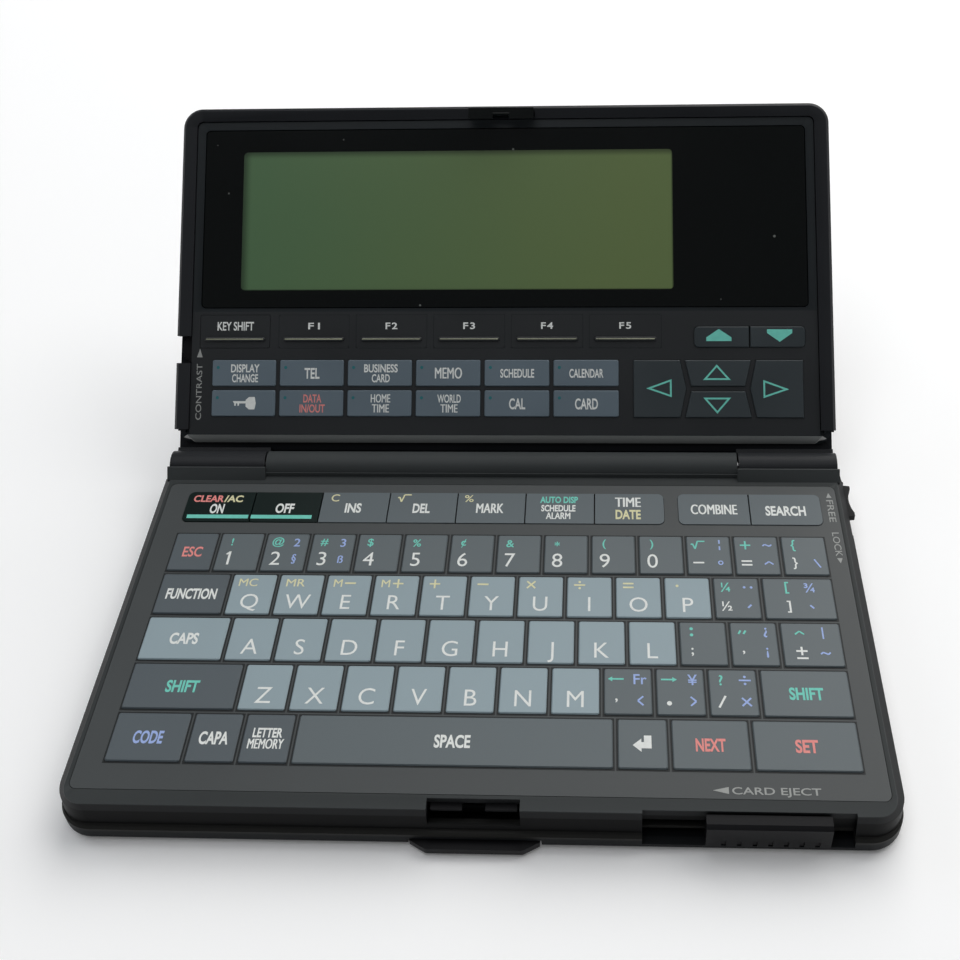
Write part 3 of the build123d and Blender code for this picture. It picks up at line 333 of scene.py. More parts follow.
class Print:
    """Flat print of one colour on one body, gathered into one mesh."""
    layers = {}

    @classmethod
    def get(cls, body, color):
        if (body, color) not in cls.layers:
            cls.layers[(body, color)] = cls()
        return cls.layers[(body, color)]

    def __init__(self):
        self.points = []
        self.faces = []

    def add(self, points, faces):
        start = len(self.points)
        self.points += points
        self.faces += [[start + i for i in face] for face in faces]


writer = bpy.data.curves.new("writer", "FONT")
writer_obj = bpy.data.objects.new("writer", writer)
bpy.context.scene.collection.objects.link(writer_obj)
writer.resolution_u = 4
glyphs = {}


def text_shape(text, weight, spacing):
    """A word as flat triangles, one unit high in its capitals, from its left end."""
    key = (text, weight, spacing)
    if key not in glyphs:
        writer.body = text
        writer.offset = weight
        writer.space_character = spacing
        bpy.context.view_layer.update()
        evaluated = writer_obj.evaluated_get(bpy.context.evaluated_depsgraph_get())
        mesh = bpy.data.meshes.new_from_object(evaluated)
        points = [v.co.copy() for v in mesh.vertices]
        faces = [list(p.vertices) for p in mesh.polygons]
        bpy.data.meshes.remove(mesh)
        glyphs[key] = (points, faces)
    return glyphs[key]


def cap_height(weight):
    """The height of a capital as the font has it."""
    points, _ = text_shape("H", weight, 1.0)
    return max(p.y for p in points) - min(p.y for p in points)


def write(text, body, color, x, y, cap, width=None, weight=0.0, surface="key", spacing=1.0, turn=0.0,
          center="cap"):
    """Print a word centred on (x, y), with capitals cap high, squeezed to the width given."""
    # the strokes of a thickened M would overlap, so a word with one is struck twice, side by side
    shifts = (0.0,)
    if "M" in text and weight > 0:
        shifts = (-weight, weight)
        weight = 0.0
    points, faces = text_shape(text, weight, spacing)
    scale = cap / cap_height(weight)
    low = min(p.x for p in points)
    high = max(p.x for p in points)
    wide = (width / (high - low)) if width else scale
    middle = cap_height(weight) / 2
    if center == "box":
        middle = (min(p.y for p in points) + max(p.y for p in points)) / 2
    c, s = math.cos(turn), math.sin(turn)
    for strike, shift in enumerate(shifts):
        placed = []
        for p in points:
            dx = (p.x + shift - (low + high) / 2) * wide
            dy = (p.y - middle) * scale
            placed.append(place(surface, x + dx * c - dy * s, y + dx * s + dy * c, INK + 0.004 * strike))
        Print.get(body, color).add(placed, faces)


HEIGHTS = {"key": KEY_TOP, "sign": SIGN_TOP, "deck": DECK_Z}
LID_HEIGHTS = {"lid_key": LID_KEY_TOP, "lid_sheet": LID_FACE}
LID_START = 12.5  # print above this height is on the lid


def place(surface, x, y, extra):
    """A point on a named surface, raised a little."""
    if surface in HEIGHTS:
        return base_point(x, y, HEIGHTS[surface] + extra)
    return lid_point(x, y, LID_HEIGHTS[surface] + extra)


shapes_made = 0
LEVELS, LEVEL_STEP = 6, 0.002  # shapes take turns at slightly different heights, so none share a plane


def shape(outline, body, color, surface, hole=None):
    """Print a filled outline, or the band between an outline and a smaller one."""
    global shapes_made
    shapes_made += 1
    count = len(outline)
    height = INK + (shapes_made % LEVELS) * LEVEL_STEP
    if hole:
        points = [place(surface, *p, height) for p in outline + hole]
        faces = [[i, (i + 1) % count, count + (i + 1) % count, count + i] for i in range(count)]
    else:
        points = [place(surface, *p, height) for p in outline]
        faces = [list(range(count))]
    Print.get(body, color).add(points, faces)


def inset(outline, amount):
    """The outline moved inwards by an amount, for a convex shape with its points anticlockwise."""
    count = len(outline)
    result = []
    for i in range(count):
        a, b, c = (Vector(outline[(i + k) % count]) for k in (-1, 0, 1))
        d1, d2 = (b - a).normalized(), (c - b).normalized()
        n1, n2 = Vector((-d1.y, d1.x)), Vector((-d2.y, d2.x))
        step = amount / max(0.2, 1 + n1.dot(n2))
        result.append(tuple(b + (n1 + n2) * step))
    return result


def stroke(x0, y0, x1, y1, thick, body, color, surface):
    """A printed straight line."""
    a, b = Vector((x0, y0)), Vector((x1, y1))
    side = (b - a).normalized()
    side = Vector((-side.y, side.x)) * thick / 2
    shape([tuple(a - side), tuple(b - side), tuple(b + side), tuple(a + side)], body, color, surface)


def dot(x, y, radius, body, color, surface, steps=20):
    """A printed disc."""
    shape([(x + radius * math.cos(2 * math.pi * i / steps), y + radius * math.sin(2 * math.pi * i / steps))
           for i in range(steps)], body, color, surface)


def ring(x, y, radius, thick, body, color, surface, steps=20):
    """A printed ring."""
    def circle(r):
        return [(x + r * math.cos(2 * math.pi * i / steps), y + r * math.sin(2 * math.pi * i / steps))
                for i in range(steps)]
    shape(circle(radius), body, color, surface, circle(radius - thick))


# ---- base legends ------------------------------------------------------------------
PITCH_X = 10.51
PITCH_Y = 11.35
LEFT = 0.45 - 7 * PITCH_X
ROW_Y = [17.95 - i * PITCH_Y for i in range(5)]


def key_x(start, width=1.0):
    """The centre of a key that starts some pitches from the left end of its row."""
    return LEFT + (start + width / 2) * PITCH_X


def small(symbol, body, color, x, y, cap=2.3, width=None, center="cap"):
    """A small mark, given as a glyph or drawn from strokes where the font's own is poor."""
    if symbol == "minus":
        stroke(x - 1.2, y, x + 1.2, y, 0.42, body, color, "key")
    elif symbol == "plus":
        stroke(x - 1.15, y, x + 1.15, y, 0.38, body, color, "key")
        stroke(x, y - 1.15, x, y + 1.15, 0.38, body, color, "key")
    elif symbol == "equal":
        stroke(x - 1.15, y + 0.5, x + 1.15, y + 0.5, 0.42, body, color, "key")
        stroke(x - 1.15, y - 0.5, x + 1.15, y - 0.5, 0.42, body, color, "key")
    elif symbol == "times":
        stroke(x - 0.9, y - 0.9, x + 0.9, y + 0.9, 0.38, body, color, "key")
        stroke(x - 0.9, y + 0.9, x + 0.9, y - 0.9, 0.38, body, color, "key")
    elif symbol == "divide":
        stroke(x - 1.2, y, x + 1.2, y, 0.38, body, color, "key")
        dot(x, y + 0.8, 0.28, body, color, "key")
        dot(x, y - 0.8, 0.28, body, color, "key")
    elif symbol == "plusminus":
        stroke(x - 1.15, y + 0.5, x + 1.15, y + 0.5, 0.42, body, color, "key")
        stroke(x, y - 0.5, x, y + 1.5, 0.42, body, color, "key")
        stroke(x - 1.15, y - 1.2, x + 1.15, y - 1.2, 0.42, body, color, "key")
    elif symbol == "root":
        root(x, y, body, color, "key")
    elif symbol == "degree":
        ring(x, y, 0.6, 0.28, body, color, "key")
    elif symbol == "caret":
        stroke(x - 0.95, y - 0.35, x, y + 0.4, 0.34, body, color, "key")
        stroke(x, y + 0.4, x + 0.95, y - 0.35, 0.34, body, color, "key")
    elif symbol == "tilde":
        wave = [(-1.0, -0.2), (-0.5, 0.25), (0.0, 0.0), (0.5, -0.25), (1.0, 0.2)]
        for (ax, ay), (bx, by) in zip(wave, wave[1:]):
            stroke(x + ax, y + ay, x + bx, y + by, 0.34, body, color, "key")
    elif symbol == "bar":
        stroke(x, y - 1.4, x, y + 1.4, 0.32, body, color, "key")
    elif symbol == "broken_bar":
        stroke(x, y + 0.35, x, y + 1.4, 0.34, body, color, "key")
        stroke(x, y - 1.4, x, y - 0.35, 0.34, body, color, "key")
    elif symbol == "backslash":
        stroke(x - 0.6, y + 1.1, x + 0.6, y - 1.1, 0.34, body, color, "key")
    elif symbol == "slash":
        stroke(x - 0.7, y - 1.3, x + 0.7, y + 1.3, 0.42, body, color, "key")
    elif symbol == "acute":
        stroke(x - 0.35, y - 0.4, x + 0.4, y + 0.4, 0.4, body, color, "key")
    elif symbol == "grave":
        stroke(x - 0.35, y + 0.4, x + 0.4, y - 0.4, 0.4, body, color, "key")
    elif symbol == "umlaut":
        dot(x - 0.75, y, 0.3, body, color, "key")
        dot(x + 0.75, y, 0.3, body, color, "key")
    elif symbol == "point":
        dot(x, y, 0.32, body, color, "key")
    elif symbol == "full_stop":
        dot(x, y - 0.5, 0.5, body, color, "key")
    elif symbol == "colon":
        dot(x, y + 0.75, 0.36, body, color, "key")
        dot(x, y - 0.75, 0.36, body, color, "key")
    elif symbol == "double_quote":
        stroke(x - 0.8, y - 0.4, x - 0.3, y + 0.45, 0.4, body, color, "key")
        stroke(x + 0.25, y - 0.4, x + 0.75, y + 0.45, 0.4, body, color, "key")
    elif symbol in ("left", "right"):
        way = -1 if symbol == "left" else 1
        stroke(x - 1.5, y, x + 1.5, y, 0.36, body, color, "key")
        shape([(x + way * 1.7, y), (x + way * 0.8, y + 0.55 * way), (x + way * 0.8, y - 0.55 * way)],
              body, color, "key")
    elif symbol in ("less", "greater"):
        way = -1 if symbol == "less" else 1
        stroke(x - way * 0.55, y + 1.0, x + way * 0.55, y, 0.36, body, color, "key")
        stroke(x + way * 0.55, y, x - way * 0.55, y - 1.0, 0.36, body, color, "key")
    else:
        write(symbol, body, color, x, y, cap, width, 0.012, center=center)


def root(x, y, body, color, surface):
    """A square-root sign, 3 mm wide."""
    path = [(-1.5, 0.1), (-1.1, 0.3), (-0.6, -1.1), (0.0, 1.0), (1.6, 1.0)]
    for (ax, ay), (bx, by) in zip(path, path[1:]):
        stroke(x + ax, y + ay, x + bx, y + by, 0.34, body, color, surface)


UPPER, LOWER = 2.75, -2.1  # the upper and lower marks of a key, from its centre
LETTER_CAP, LETTER_WEIGHT = 3.6, -0.002
WORD_WEIGHT = 0.032
# number row: shifted marks, and the code marks of two of its keys
SHIFTED = dict(zip("1234567890", "!@#$%¢&*()"))
for i, digit in enumerate("1234567890"):
    x = key_x(1 + i)
    write(digit, "number_keys", "white", x - 1.9, ROW_Y[0] - 1.75, LETTER_CAP)
    if digit == "1":
        stroke(x - 2.6, ROW_Y[0] - 0.75, x - 1.95, ROW_Y[0] - 0.1, 0.4, "number_keys", "white", "key")
    small(SHIFTED[digit], "number_keys", "teal", x - 2.0, ROW_Y[0] + UPPER, 2.0, center="box")
small("2", "number_keys", "blue", key_x(2) + 2.3, ROW_Y[0] + 2.7, 2.2)
small("§", "number_keys", "blue", key_x(2) + 2.3, ROW_Y[0] - 1.9, 2.0, center="box")
small("3", "number_keys", "blue", key_x(3) + 2.3, ROW_Y[0] + 2.7, 2.2)
small("ß", "number_keys", "blue", key_x(3) + 2.3, ROW_Y[0] - 1.9, 2.0, center="box")
write("ESC", "key_esc", "red", key_x(0), ROW_Y[0], 2.75, 4.4, 0.02)

# letters, with the calculator marks of the top letter row
CALC = ["MC", "MR", ("M", "minus"), ("M", "plus"), "plus", "minus", "times", "divide", "equal", "point"]
for i, letter in enumerate("QWERTYUIOP"):
    x = key_x(1.5 + i)
    write(letter, "top_letter_keys", "white", x, ROW_Y[1] - 1.9, LETTER_CAP, weight=LETTER_WEIGHT)
    mark = CALC[i]
    if isinstance(mark, tuple):
        write(mark[0], "top_letter_keys", "yellow", x - 2.35, ROW_Y[1] + 3.0, 1.95, weight=0.006)
        small(mark[1], "top_letter_keys", "yellow", x + 0.35, ROW_Y[1] + 3.0)
    elif mark.isupper():
        write(mark, "top_letter_keys", "yellow", x - 1.2, ROW_Y[1] + 3.0, 1.95, 4.1, 0.006)
    else:
        small(mark, "top_letter_keys", "yellow", x - 2.1, ROW_Y[1] + 3.0)
for i, letter in enumerate("ASDFGHJKL"):
    write(letter, "middle_letter_keys", "white", key_x(1.75 + i), ROW_Y[2] - 1.9, LETTER_CAP, weight=LETTER_WEIGHT)
for i, letter in enumerate("ZXCVBNM"):
    write(letter, "bottom_letter_keys", "white", key_x(2.25 + i), ROW_Y[3] - 1.9, LETTER_CAP, weight=LETTER_WEIGHT)

# symbol keys: (row, start, width, upper left, lower left, upper right, lower right)
SYMBOLS = [
    (0, 11, 1, "root", "minus", "broken_bar", "degree"),
    (0, 12, 1, "plus", "equal", "tilde", "caret"),
    (0, 13, 1, "{", "}", None, "backslash"),
    (1, 11.5, 1, "¼", "½", "umlaut", "acute"),
    (1, 12.5, 1.5, "[", "]", "¾", "grave"),
    (2, 10.75, 1, "colon", ";", None, None),
    (2, 11.75, 1, "double_quote", "’", "¿", "¡"),
    (2, 12.75, 1.25, "caret", "plusminus", "bar", "tilde"),
    (3, 9.25, 1, "left", ",", "Fr", "less"),
    (3, 10.25, 1, "right", "full_stop", "¥", "greater"),
    (3, 11.25, 1, "?", "slash", "divide", "times"),
]
for row, start, width, *marks in SYMBOLS:
    x = key_x(start, width)
    for mark, dx, dy, color in zip(marks, (-2.3, -2.3, 2.5, 2.5), (UPPER, LOWER, UPPER, LOWER),
                                   ("teal", "white", "blue", "blue")):
        if mark:
            small(mark, "symbol_keys", color, x + dx, ROW_Y[row] + dy, 2.3, center="box")

# words on the base keys
WORDS = [
    ("FUNCTION", "key_function", "white", key_x(0, 1.5), ROW_Y[1], 2.75, 11.1),
    ("CAPS", "key_caps", "white", key_x(0, 1.75), ROW_Y[2], 2.75, 6.1),
    ("SHIFT", "key_shift_left", "teal", key_x(0, 2.25), ROW_Y[3], 2.75, 6.8),
    ("SHIFT", "key_shift_right", "teal", key_x(12.25, 1.75), ROW_Y[3], 2.75, 6.8),
    ("CODE", "code_keys", "blue", key_x(0, 1.5), ROW_Y[4], 2.75, 6.0),
    ("CAPA", "code_keys", "white", key_x(1.5), ROW_Y[4], 2.75, 5.9),
    ("LETTER", "code_keys", "white", key_x(2.5), ROW_Y[4] + 1.25, 2.05, 5.9),
    ("MEMORY", "code_keys", "white", key_x(2.5), ROW_Y[4] - 1.2, 2.05, 7.0),
    ("SPACE", "key_space", "white", key_x(3.5, 6) - 0.2, ROW_Y[4], 2.75, 7.1),
    ("NEXT", "key_next", "red", key_x(10.5, 1.5), ROW_Y[4], 2.75, 5.8),
    ("SET", "key_set", "red", key_x(12, 2), ROW_Y[4], 2.75, 4.4),
]
for text, body, color, x, y, cap, width in WORDS:
    write(text, body, color, x, y, cap, width, WORD_WEIGHT)
# words on the row of sign keys
SIGNS = [
    ("CLEAR", "key_on", "red", -67.9, 33.55, 2.0, 7.2),
    ("/AC", "key_on", "yellow", -62.0, 33.55, 2.0, 4.4),
    ("ON", "key_on", "white", -65.35, 30.6, 2.8, 3.3),
    ("OFF", "key_off", "white", -49.4, 30.8, 2.8, 4.3),
    ("INS", "edit_keys", "white", -33.4, 31.0, 2.8, 3.8),
    ("DEL", "edit_keys", "white", -17.5, 31.0, 2.8, 4.0),
    ("MARK", "edit_keys", "white", -1.6, 31.0, 2.8, 6.2),
    ("AUTO DISP", "edit_keys", "teal", 14.3, 33.7, 1.9, 8.75),
    ("SCHEDULE", "edit_keys", "white", 14.2, 31.2, 1.9, 7.9),
    ("ALARM", "edit_keys", "white", 14.2, 28.9, 1.9, 5.5),
    ("TIME", "edit_keys", "white", 30.2, 33.0, 2.75, 5.75),
    ("DATE", "edit_keys", "yellow", 30.2, 29.5, 2.75, 5.75),
    ("COMBINE", "search_keys", "white", 49.8, 31.0, 2.8, 10.4),
    ("SEARCH", "search_keys", "white", 66.0, 30.8, 2.8, 9.1),
]
for text, body, color, x, y, cap, width in SIGNS:
    write(text, body, color, x, y, cap, width, WORD_WEIGHT, "sign")
write("C", "edit_keys", "yellow", -38.0, 33.9, 2.1, None, 0.008, "sign")
root(-21.8, 33.9, "edit_keys", "yellow", "sign")
write("%", "edit_keys", "yellow", -6.6, 33.9, 2.0, 2.1, 0.006, "sign")
for x0, x1, body in ((-71.9, -57.5, "key_on"), (-56.9, -42.7, "key_off")):
    stroke(x0, 28.15, x1, 28.15, 1.06, body, "teal", "sign")
# return arrow
rx, ry = key_x(9.5), ROW_Y[4]
shape([(rx - 1.9, ry - 0.35), (rx - 0.2, ry - 1.75), (rx - 0.2, ry + 1.05)], "key_return", "white", "key")
for x0, x1, y0, y1 in ((-0.25, 1.75, -1.0, 0.3), (0.3, 1.75, 0.3, 1.7)):
    shape([(rx + x0, ry + y0), (rx + x1, ry + y0), (rx + x1, ry + y1), (rx + x0, ry + y1)], "key_return",
          "white", "key")
# print on the panel round the keys
shape([(44.9, -36.55), (47.9, -37.25), (47.9, -35.85)], "base", "grey", "deck")
write("CARD EJECT", "base", "grey", 56.8, -36.55, 1.4, 16.6, 0.01, "deck")
down = -math.pi / 2
shape([(76.4, 36.2), (75.8, 34.8), (77.0, 34.8)], "base", "grey", "deck")
write("FREE", "base", "grey", 76.4, 30.9, 1.5, 6.4, 0.004, "deck", turn=down)
write("LOCK", "base", "grey", 76.4, 21.4, 1.5, 6.6, 0.004, "deck", turn=down)
shape([(76.4, 16.2), (77.0, 17.6), (75.8, 17.6)], "base", "grey", "deck")

# ---- lid legends -------------------------------------------------------------------
write("KEY SHIFT", "key_soft_shift", "white", -65.3, 33.55, 2.1, 9.0, 0.02, "lid_sheet")
for i, x in enumerate(SOFT_X):
    write(f"F{i + 1}", "soft_keys", "white", x, 33.55, 1.6, 2.9, 0.02, "lid_sheet", spacing=1.2)
MODE_X = [-70.7 + 15.67 / 2 + i * 16.67 for i in range(6)]
MODE_U = [22.05, 14.75]
MODE_WORDS = [
    [("DISPLAY", "CHANGE"), ("TEL",), ("BUSINESS", "CARD"), ("MEMO",), ("SCHEDULE",), ("CALENDAR",)],
    [None, ("DATA", "IN/OUT"), ("HOME", "TIME"), ("WORLD", "TIME"), ("CAL",), ("CARD",)],
]
MODE_WIDTHS = {"DISPLAY": 7.0, "CHANGE": 6.4, "TEL": 3.7, "BUSINESS": 8.2, "CARD": 4.4, "MEMO": 6.5,
               "SCHEDULE": 8.2, "CALENDAR": 8.2, "DATA": 4.4, "IN/OUT": 6.2, "HOME": 4.7, "TIME": 4.1,
               "WORLD": 5.7, "CAL": 3.9}
for row, words in enumerate(MODE_WORDS):
    for x, lines in zip(MODE_X, words):
        u = MODE_U[row]
        dot(x - 6.4, u + 1.35, 0.38, "mode_keys", "dim_teal", "lid_key")
        if lines is None:
            continue
        color = "red" if "DATA" in lines else "white"
        if len(lines) == 2:
            for line, du in zip(lines, (1.2, -1.2)):
                write(line, "mode_keys", color, x + 0.3, u + du, 1.95, MODE_WIDTHS[line], 0.02, "lid_key")
        else:
            word = lines[0]
            cap = 2.1 if len(word) > 5 else 2.6
            width = 5.5 if word == "CARD" else MODE_WIDTHS[word]
            write(word, "mode_keys", color, x + 0.1, u, cap, width, 0.022, "lid_key")
# key picture: bow, shank and bit
kx, ku = MODE_X[0] + 0.3, MODE_U[1]
shape([(kx + 1.1, ku - 1.5), (kx + 2.5, ku - 1.5), (kx + 2.8, ku), (kx + 2.5, ku + 1.5), (kx + 1.1, ku + 1.5),
       (kx + 0.3, ku + 0.8), (kx + 0.3, ku - 0.8)], "mode_keys", "white", "lid_key")
shape([(kx - 2.5, ku - 0.05), (kx + 0.3, ku - 0.05), (kx + 0.3, ku + 0.5), (kx - 2.9, ku + 0.5)], "mode_keys",
      "white", "lid_key")
for bit in (-2.3, -1.5):
    stroke(kx + bit, ku - 0.6, kx + bit, ku, 0.4, "mode_keys", "white", "lid_key")
# page triangles
shape([(49.4, 29.7), (55.4, 29.7), (55.4, 30.6), (52.4, 32.6), (49.4, 30.6)], "page_keys", "teal", "lid_key")
shape([(66.9, 29.5), (69.9, 31.6), (69.9, 32.5), (63.9, 32.5), (63.9, 31.6)], "page_keys", "teal", "lid_key")
# arrow outlines
ARROWS = {
    "key_left": [(34.9, 18.4), (41.0, 16.3), (41.0, 20.6)],
    "key_right": [(68.9, 18.2), (62.8, 20.4), (62.8, 16.1)],
    "key_up": [(51.8, 24.1), (48.5, 20.4), (55.1, 20.4)],
    "key_down": [(51.8, 12.4), (55.1, 16.2), (48.5, 16.2)],
}
for body, outline in ARROWS.items():
    shape(outline, body, "teal", "lid_key", inset(outline, 0.42))
up = math.pi / 2
write("CONTRAST", "lid", "grey", -74.0, 17.5, 1.35, 13.6, 0.004, "lid_sheet", turn=up)
shape([(-74.0, 28.0), (-74.7, 25.9), (-73.3, 25.9)], "lid", "grey", "lid_sheet")


def thin_frame(x0, x1, u0, u1, body):
    """The faint outline round a soft key."""
    band = [(x0, u0), (x1, u0), (x1, u1), (x0, u1)]
    shape(band, body, "dim_line", "lid_sheet", inset(band, 0.14))


for x in SOFT_X:
    thin_frame(x - 8.75, x + 8.75, 28.05, 36.3, "lid")


def key_tops(node):
    """The box of each key top of a node: x0, x1, y0, y1 in millimetres."""
    bm = bmesh.new()
    bm.from_mesh(nodes[node].data)
    bmesh.ops.remove_doubles(bm, verts=bm.verts, dist=1e-6)
    left = set(bm.verts)
    boxes = []
    while left:
        island, front = [], [left.pop()]
        while front:
            vert = front.pop()
            island.append(vert.co / MM)
            for edge in vert.link_edges:
                other = edge.other_vert(vert)
                if other in left:
                    left.remove(other)
                    front.append(other)
        top = max(p.z for p in island)
        face = [p for p in island if p.z > top - 0.5]
        xs, ys = [p.x for p in face], [p.y for p in face]
        boxes.append((min(xs), max(xs), min(ys), max(ys)))
    bm.free()
    return sorted(boxes)


BASE_KEYS = ["number_keys", "symbol_keys", "key_esc", "key_function", "key_shift_left", "key_shift_right",
             "code_keys", "key_return", "key_next", "key_set", "key_space", "key_caps", "top_letter_keys",
             "middle_letter_keys", "bottom_letter_keys"]
GAP_SHADE_WIDTH = 0.34  # width of the painted shade line round a key, where the gap beside it falls dark
# a dark band printed on the deck round each key top: painted shade in the gap
for node in BASE_KEYS:
    for x0, x1, y0, y1 in key_tops(node):
        x0, x1, y0, y1 = x0 - GAP_SHADE_WIDTH, x1 + GAP_SHADE_WIDTH, y0 - GAP_SHADE_WIDTH, y1 + GAP_SHADE_WIDTH
        band = [(x0, y0), (x1, y0), (x1, y1), (x0, y1)]
        shape(band, "base", "seam", "deck", inset(band, GAP_SHADE_WIDTH))


def make_prints():
    """Turn each gathered layer of print into a piece that rides on its body."""
    for (body, color), layer in Print.layers.items():
        mesh = bpy.data.meshes.new(f"print_{body}_{color}")
        mesh.from_pydata(layer.points, [], layer.faces)
        mesh.validate()
        bm = bmesh.new()
        bm.from_mesh(mesh)
        on_lid = layer.points[0].z > LID_START * MM
        facing = Vector((0, -math.sin(TILT), math.cos(TILT))) if on_lid else Vector((0, 0, 1))
        for face in bm.faces:
            if face.normal.dot(facing) < 0:
                face.normal_flip()
        bm.to_mesh(mesh)
        bm.free()
        mesh.materials.append(INKS[color])
        obj = bpy.data.objects.new(f"print_{body}_{color}", mesh)
        bpy.context.scene.collection.objects.link(obj)
        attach(obj, body)


make_prints()
bpy.data.objects.remove(writer_obj)


# ---- display: a window whose middle shows the screen, in one plane -------------------
def rounded(x0, x1, y0, y1, radius, steps=6):
    """A rounded rectangle, anticlockwise."""
    result = []
    for cx, cy, start in ((x1 - radius, y0 + radius, -90), (x1 - radius, y1 - radius, 0),
                          (x0 + radius, y1 - radius, 90), (x0 + radius, y0 + radius, 180)):
        for i in range(steps + 1):
            angle = math.radians(start + 90 * i / steps)
            result.append((cx + radius * math.cos(angle), cy + radius * math.sin(angle)))
    return result


def in_lid_frame(name, points, faces, materials, body="lid", slots=None):
    """A piece whose own X, Y and Z are across, up the lid and towards the user, in millimetres here."""
    mesh = bpy.data.meshes.new(name)
    mesh.from_pydata([Vector(p) * MM for p in points], [], faces)
    for material in materials:
        mesh.materials.append(material)
    for face, slot in zip(mesh.polygons, slots or [0] * len(faces)):
        face.material_index = slot
    obj = bpy.data.objects.new(name, mesh)
    obj.matrix_world = (Matrix.Translation(Vector((0, HINGE_Y, HINGE_Z)) * MM)
                        @ Matrix.Rotation(TILT, 4, "X"))
    bpy.context.scene.collection.objects.link(obj)
    bpy.context.view_layer.update()
    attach(obj, body)
    return obj


def make_window():
    """The printed window: a glossy black border round a middle part that shows the screen, in the same plane."""
    top, low = -1.05, -2.0
    outer = rounded(-74.0, 74.0, 37.9, 82.3, 1.1)
    brim = rounded(-73.8, 73.8, 38.1, 82.1, 0.9)
    screen = rounded(*SCREEN, 1.0)
    n = len(outer)
    points = [(x, u, low) for x, u in outer] + [(x, u, top - 0.2) for x, u in outer]
    points += [(x, u, top) for x, u in brim] + [(x, u, top) for x, u in screen]
    faces, slots = [], []
    for level in range(3):
        for i in range(n):
            j = (i + 1) % n
            faces.append((level * n + i, level * n + j, level * n + n + j, level * n + n + i))
            slots.append(0)
    faces.append(tuple(range(3 * n, 4 * n)))
    slots.append(1)
    faces.append(tuple(reversed(range(n))))
    slots.append(0)
    window = in_lid_frame("window", points, faces, [MATS["window"], MATS["screen"]], slots=slots)
    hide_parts("display_window")


def screen_material():
    """The screen, shown in the middle of the window: grey-green, with painted shadow along its edges."""
    left, right, low, high = SCREEN
    mat, tree, shader = new_material("screen", (0.07, 0.11, 0.06), 0.22, 0.5)
    shader.inputs["Coat Weight"].default_value = 0.3
    shader.inputs["Coat Roughness"].default_value = 0.05
    add, link = tree.nodes.new, tree.links.new
    coord = add("ShaderNodeTexCoord")
    axes = add("ShaderNodeSeparateXYZ")
    link(coord.outputs["Object"], axes.inputs["Vector"])
    across = add("ShaderNodeMapRange")
    across.inputs["From Min"].default_value = left * MM
    across.inputs["From Max"].default_value = right * MM
    link(axes.outputs["X"], across.inputs["Value"])
    haze = add("ShaderNodeTexNoise")
    haze.inputs["Scale"].default_value = 25
    haze.inputs["Detail"].default_value = 5
    link(coord.outputs["Object"], haze.inputs["Vector"])
    mixed = add("ShaderNodeMath")
    mixed.operation = "MULTIPLY_ADD"
    mixed.inputs[1].default_value = 0.25
    link(haze.outputs["Fac"], mixed.inputs[0])
    link(across.outputs["Result"], mixed.inputs[2])
    tone = add("ShaderNodeValToRGB")
    tone.color_ramp.elements[0].color = (0.080, 0.162, 0.082, 1)
    tone.color_ramp.elements[1].color = (0.132, 0.186, 0.070, 1)
    link(mixed.outputs["Value"], tone.inputs["Fac"])
    # painted shadow: each edge of the screen is mixed towards near-black, widest at the left and top
    painted_edge_shadows = []
    for axis, start, end in (("X", left, left + 2.2), ("Y", high, high - 1.8), ("X", right, right - 0.5),
                             ("Y", low, low + 0.4)):
        edge = add("ShaderNodeMapRange")
        edge.interpolation_type = "SMOOTHSTEP"
        edge.inputs["From Min"].default_value = start * MM
        edge.inputs["From Max"].default_value = end * MM
        edge.inputs["To Min"].default_value = 0.35
        link(axes.outputs[axis], edge.inputs["Value"])
        painted_edge_shadows.append(edge.outputs["Result"])
    total = painted_edge_shadows[0]
    for shade in painted_edge_shadows[1:]:
        product = add("ShaderNodeMath")
        product.operation = "MULTIPLY"
        link(total, product.inputs[0])
        link(shade, product.inputs[1])
        total = product.outputs["Value"]
    painted_shadow_mix = add("ShaderNodeMix")
    painted_shadow_mix.data_type = "RGBA"
    painted_shadow_mix.inputs["A"].default_value = (0.006, 0.010, 0.006, 1)
    link(total, painted_shadow_mix.inputs["Factor"])
    link(tone.outputs["Color"], painted_shadow_mix.inputs["B"])
    link(painted_shadow_mix.outputs["Result"], shader.inputs["Base Color"])
    return mat


def make_bars():
    """The raised half-round bars of the soft keys, satin like polished plastic."""
    half_length, half_width, rise, middle_u = 6.97, 0.53, 0.46, 30.3
    steps, rings, slope = 20, 4, math.radians(26)
    for body, centres in (("key_soft_shift", [-65.4]), ("soft_keys", SOFT_X)):
        points, faces = [], []
        for x in centres:
            start = len(points)
            for level in range(rings):
                # rings of a stadium that shrinks as it rises
                radius = half_width * math.cos(level * slope)
                height = LID_FACE + 0.06 + rise * math.sin(level * slope)
                for i in range(steps):
                    angle = 2 * math.pi * (i + 0.5) / steps
                    end = half_length if math.cos(angle) > 0 else -half_length
                    along = x + end + radius * math.cos(angle)
                    points.append((along, middle_u + radius * math.sin(angle), height))
            for level in range(rings - 1):
                for i in range(steps):
                    j = (i + 1) % steps
                    a = start + level * steps
                    faces.append((a + i, a + j, a + steps + j, a + steps + i))
            faces.append(tuple(range(start + (rings - 1) * steps, start + rings * steps)))
        bars = in_lid_frame(f"bars_{body}", points, faces, [MATS["bar"]], body)
        for face in bars.data.polygons:
            face.use_smooth = True


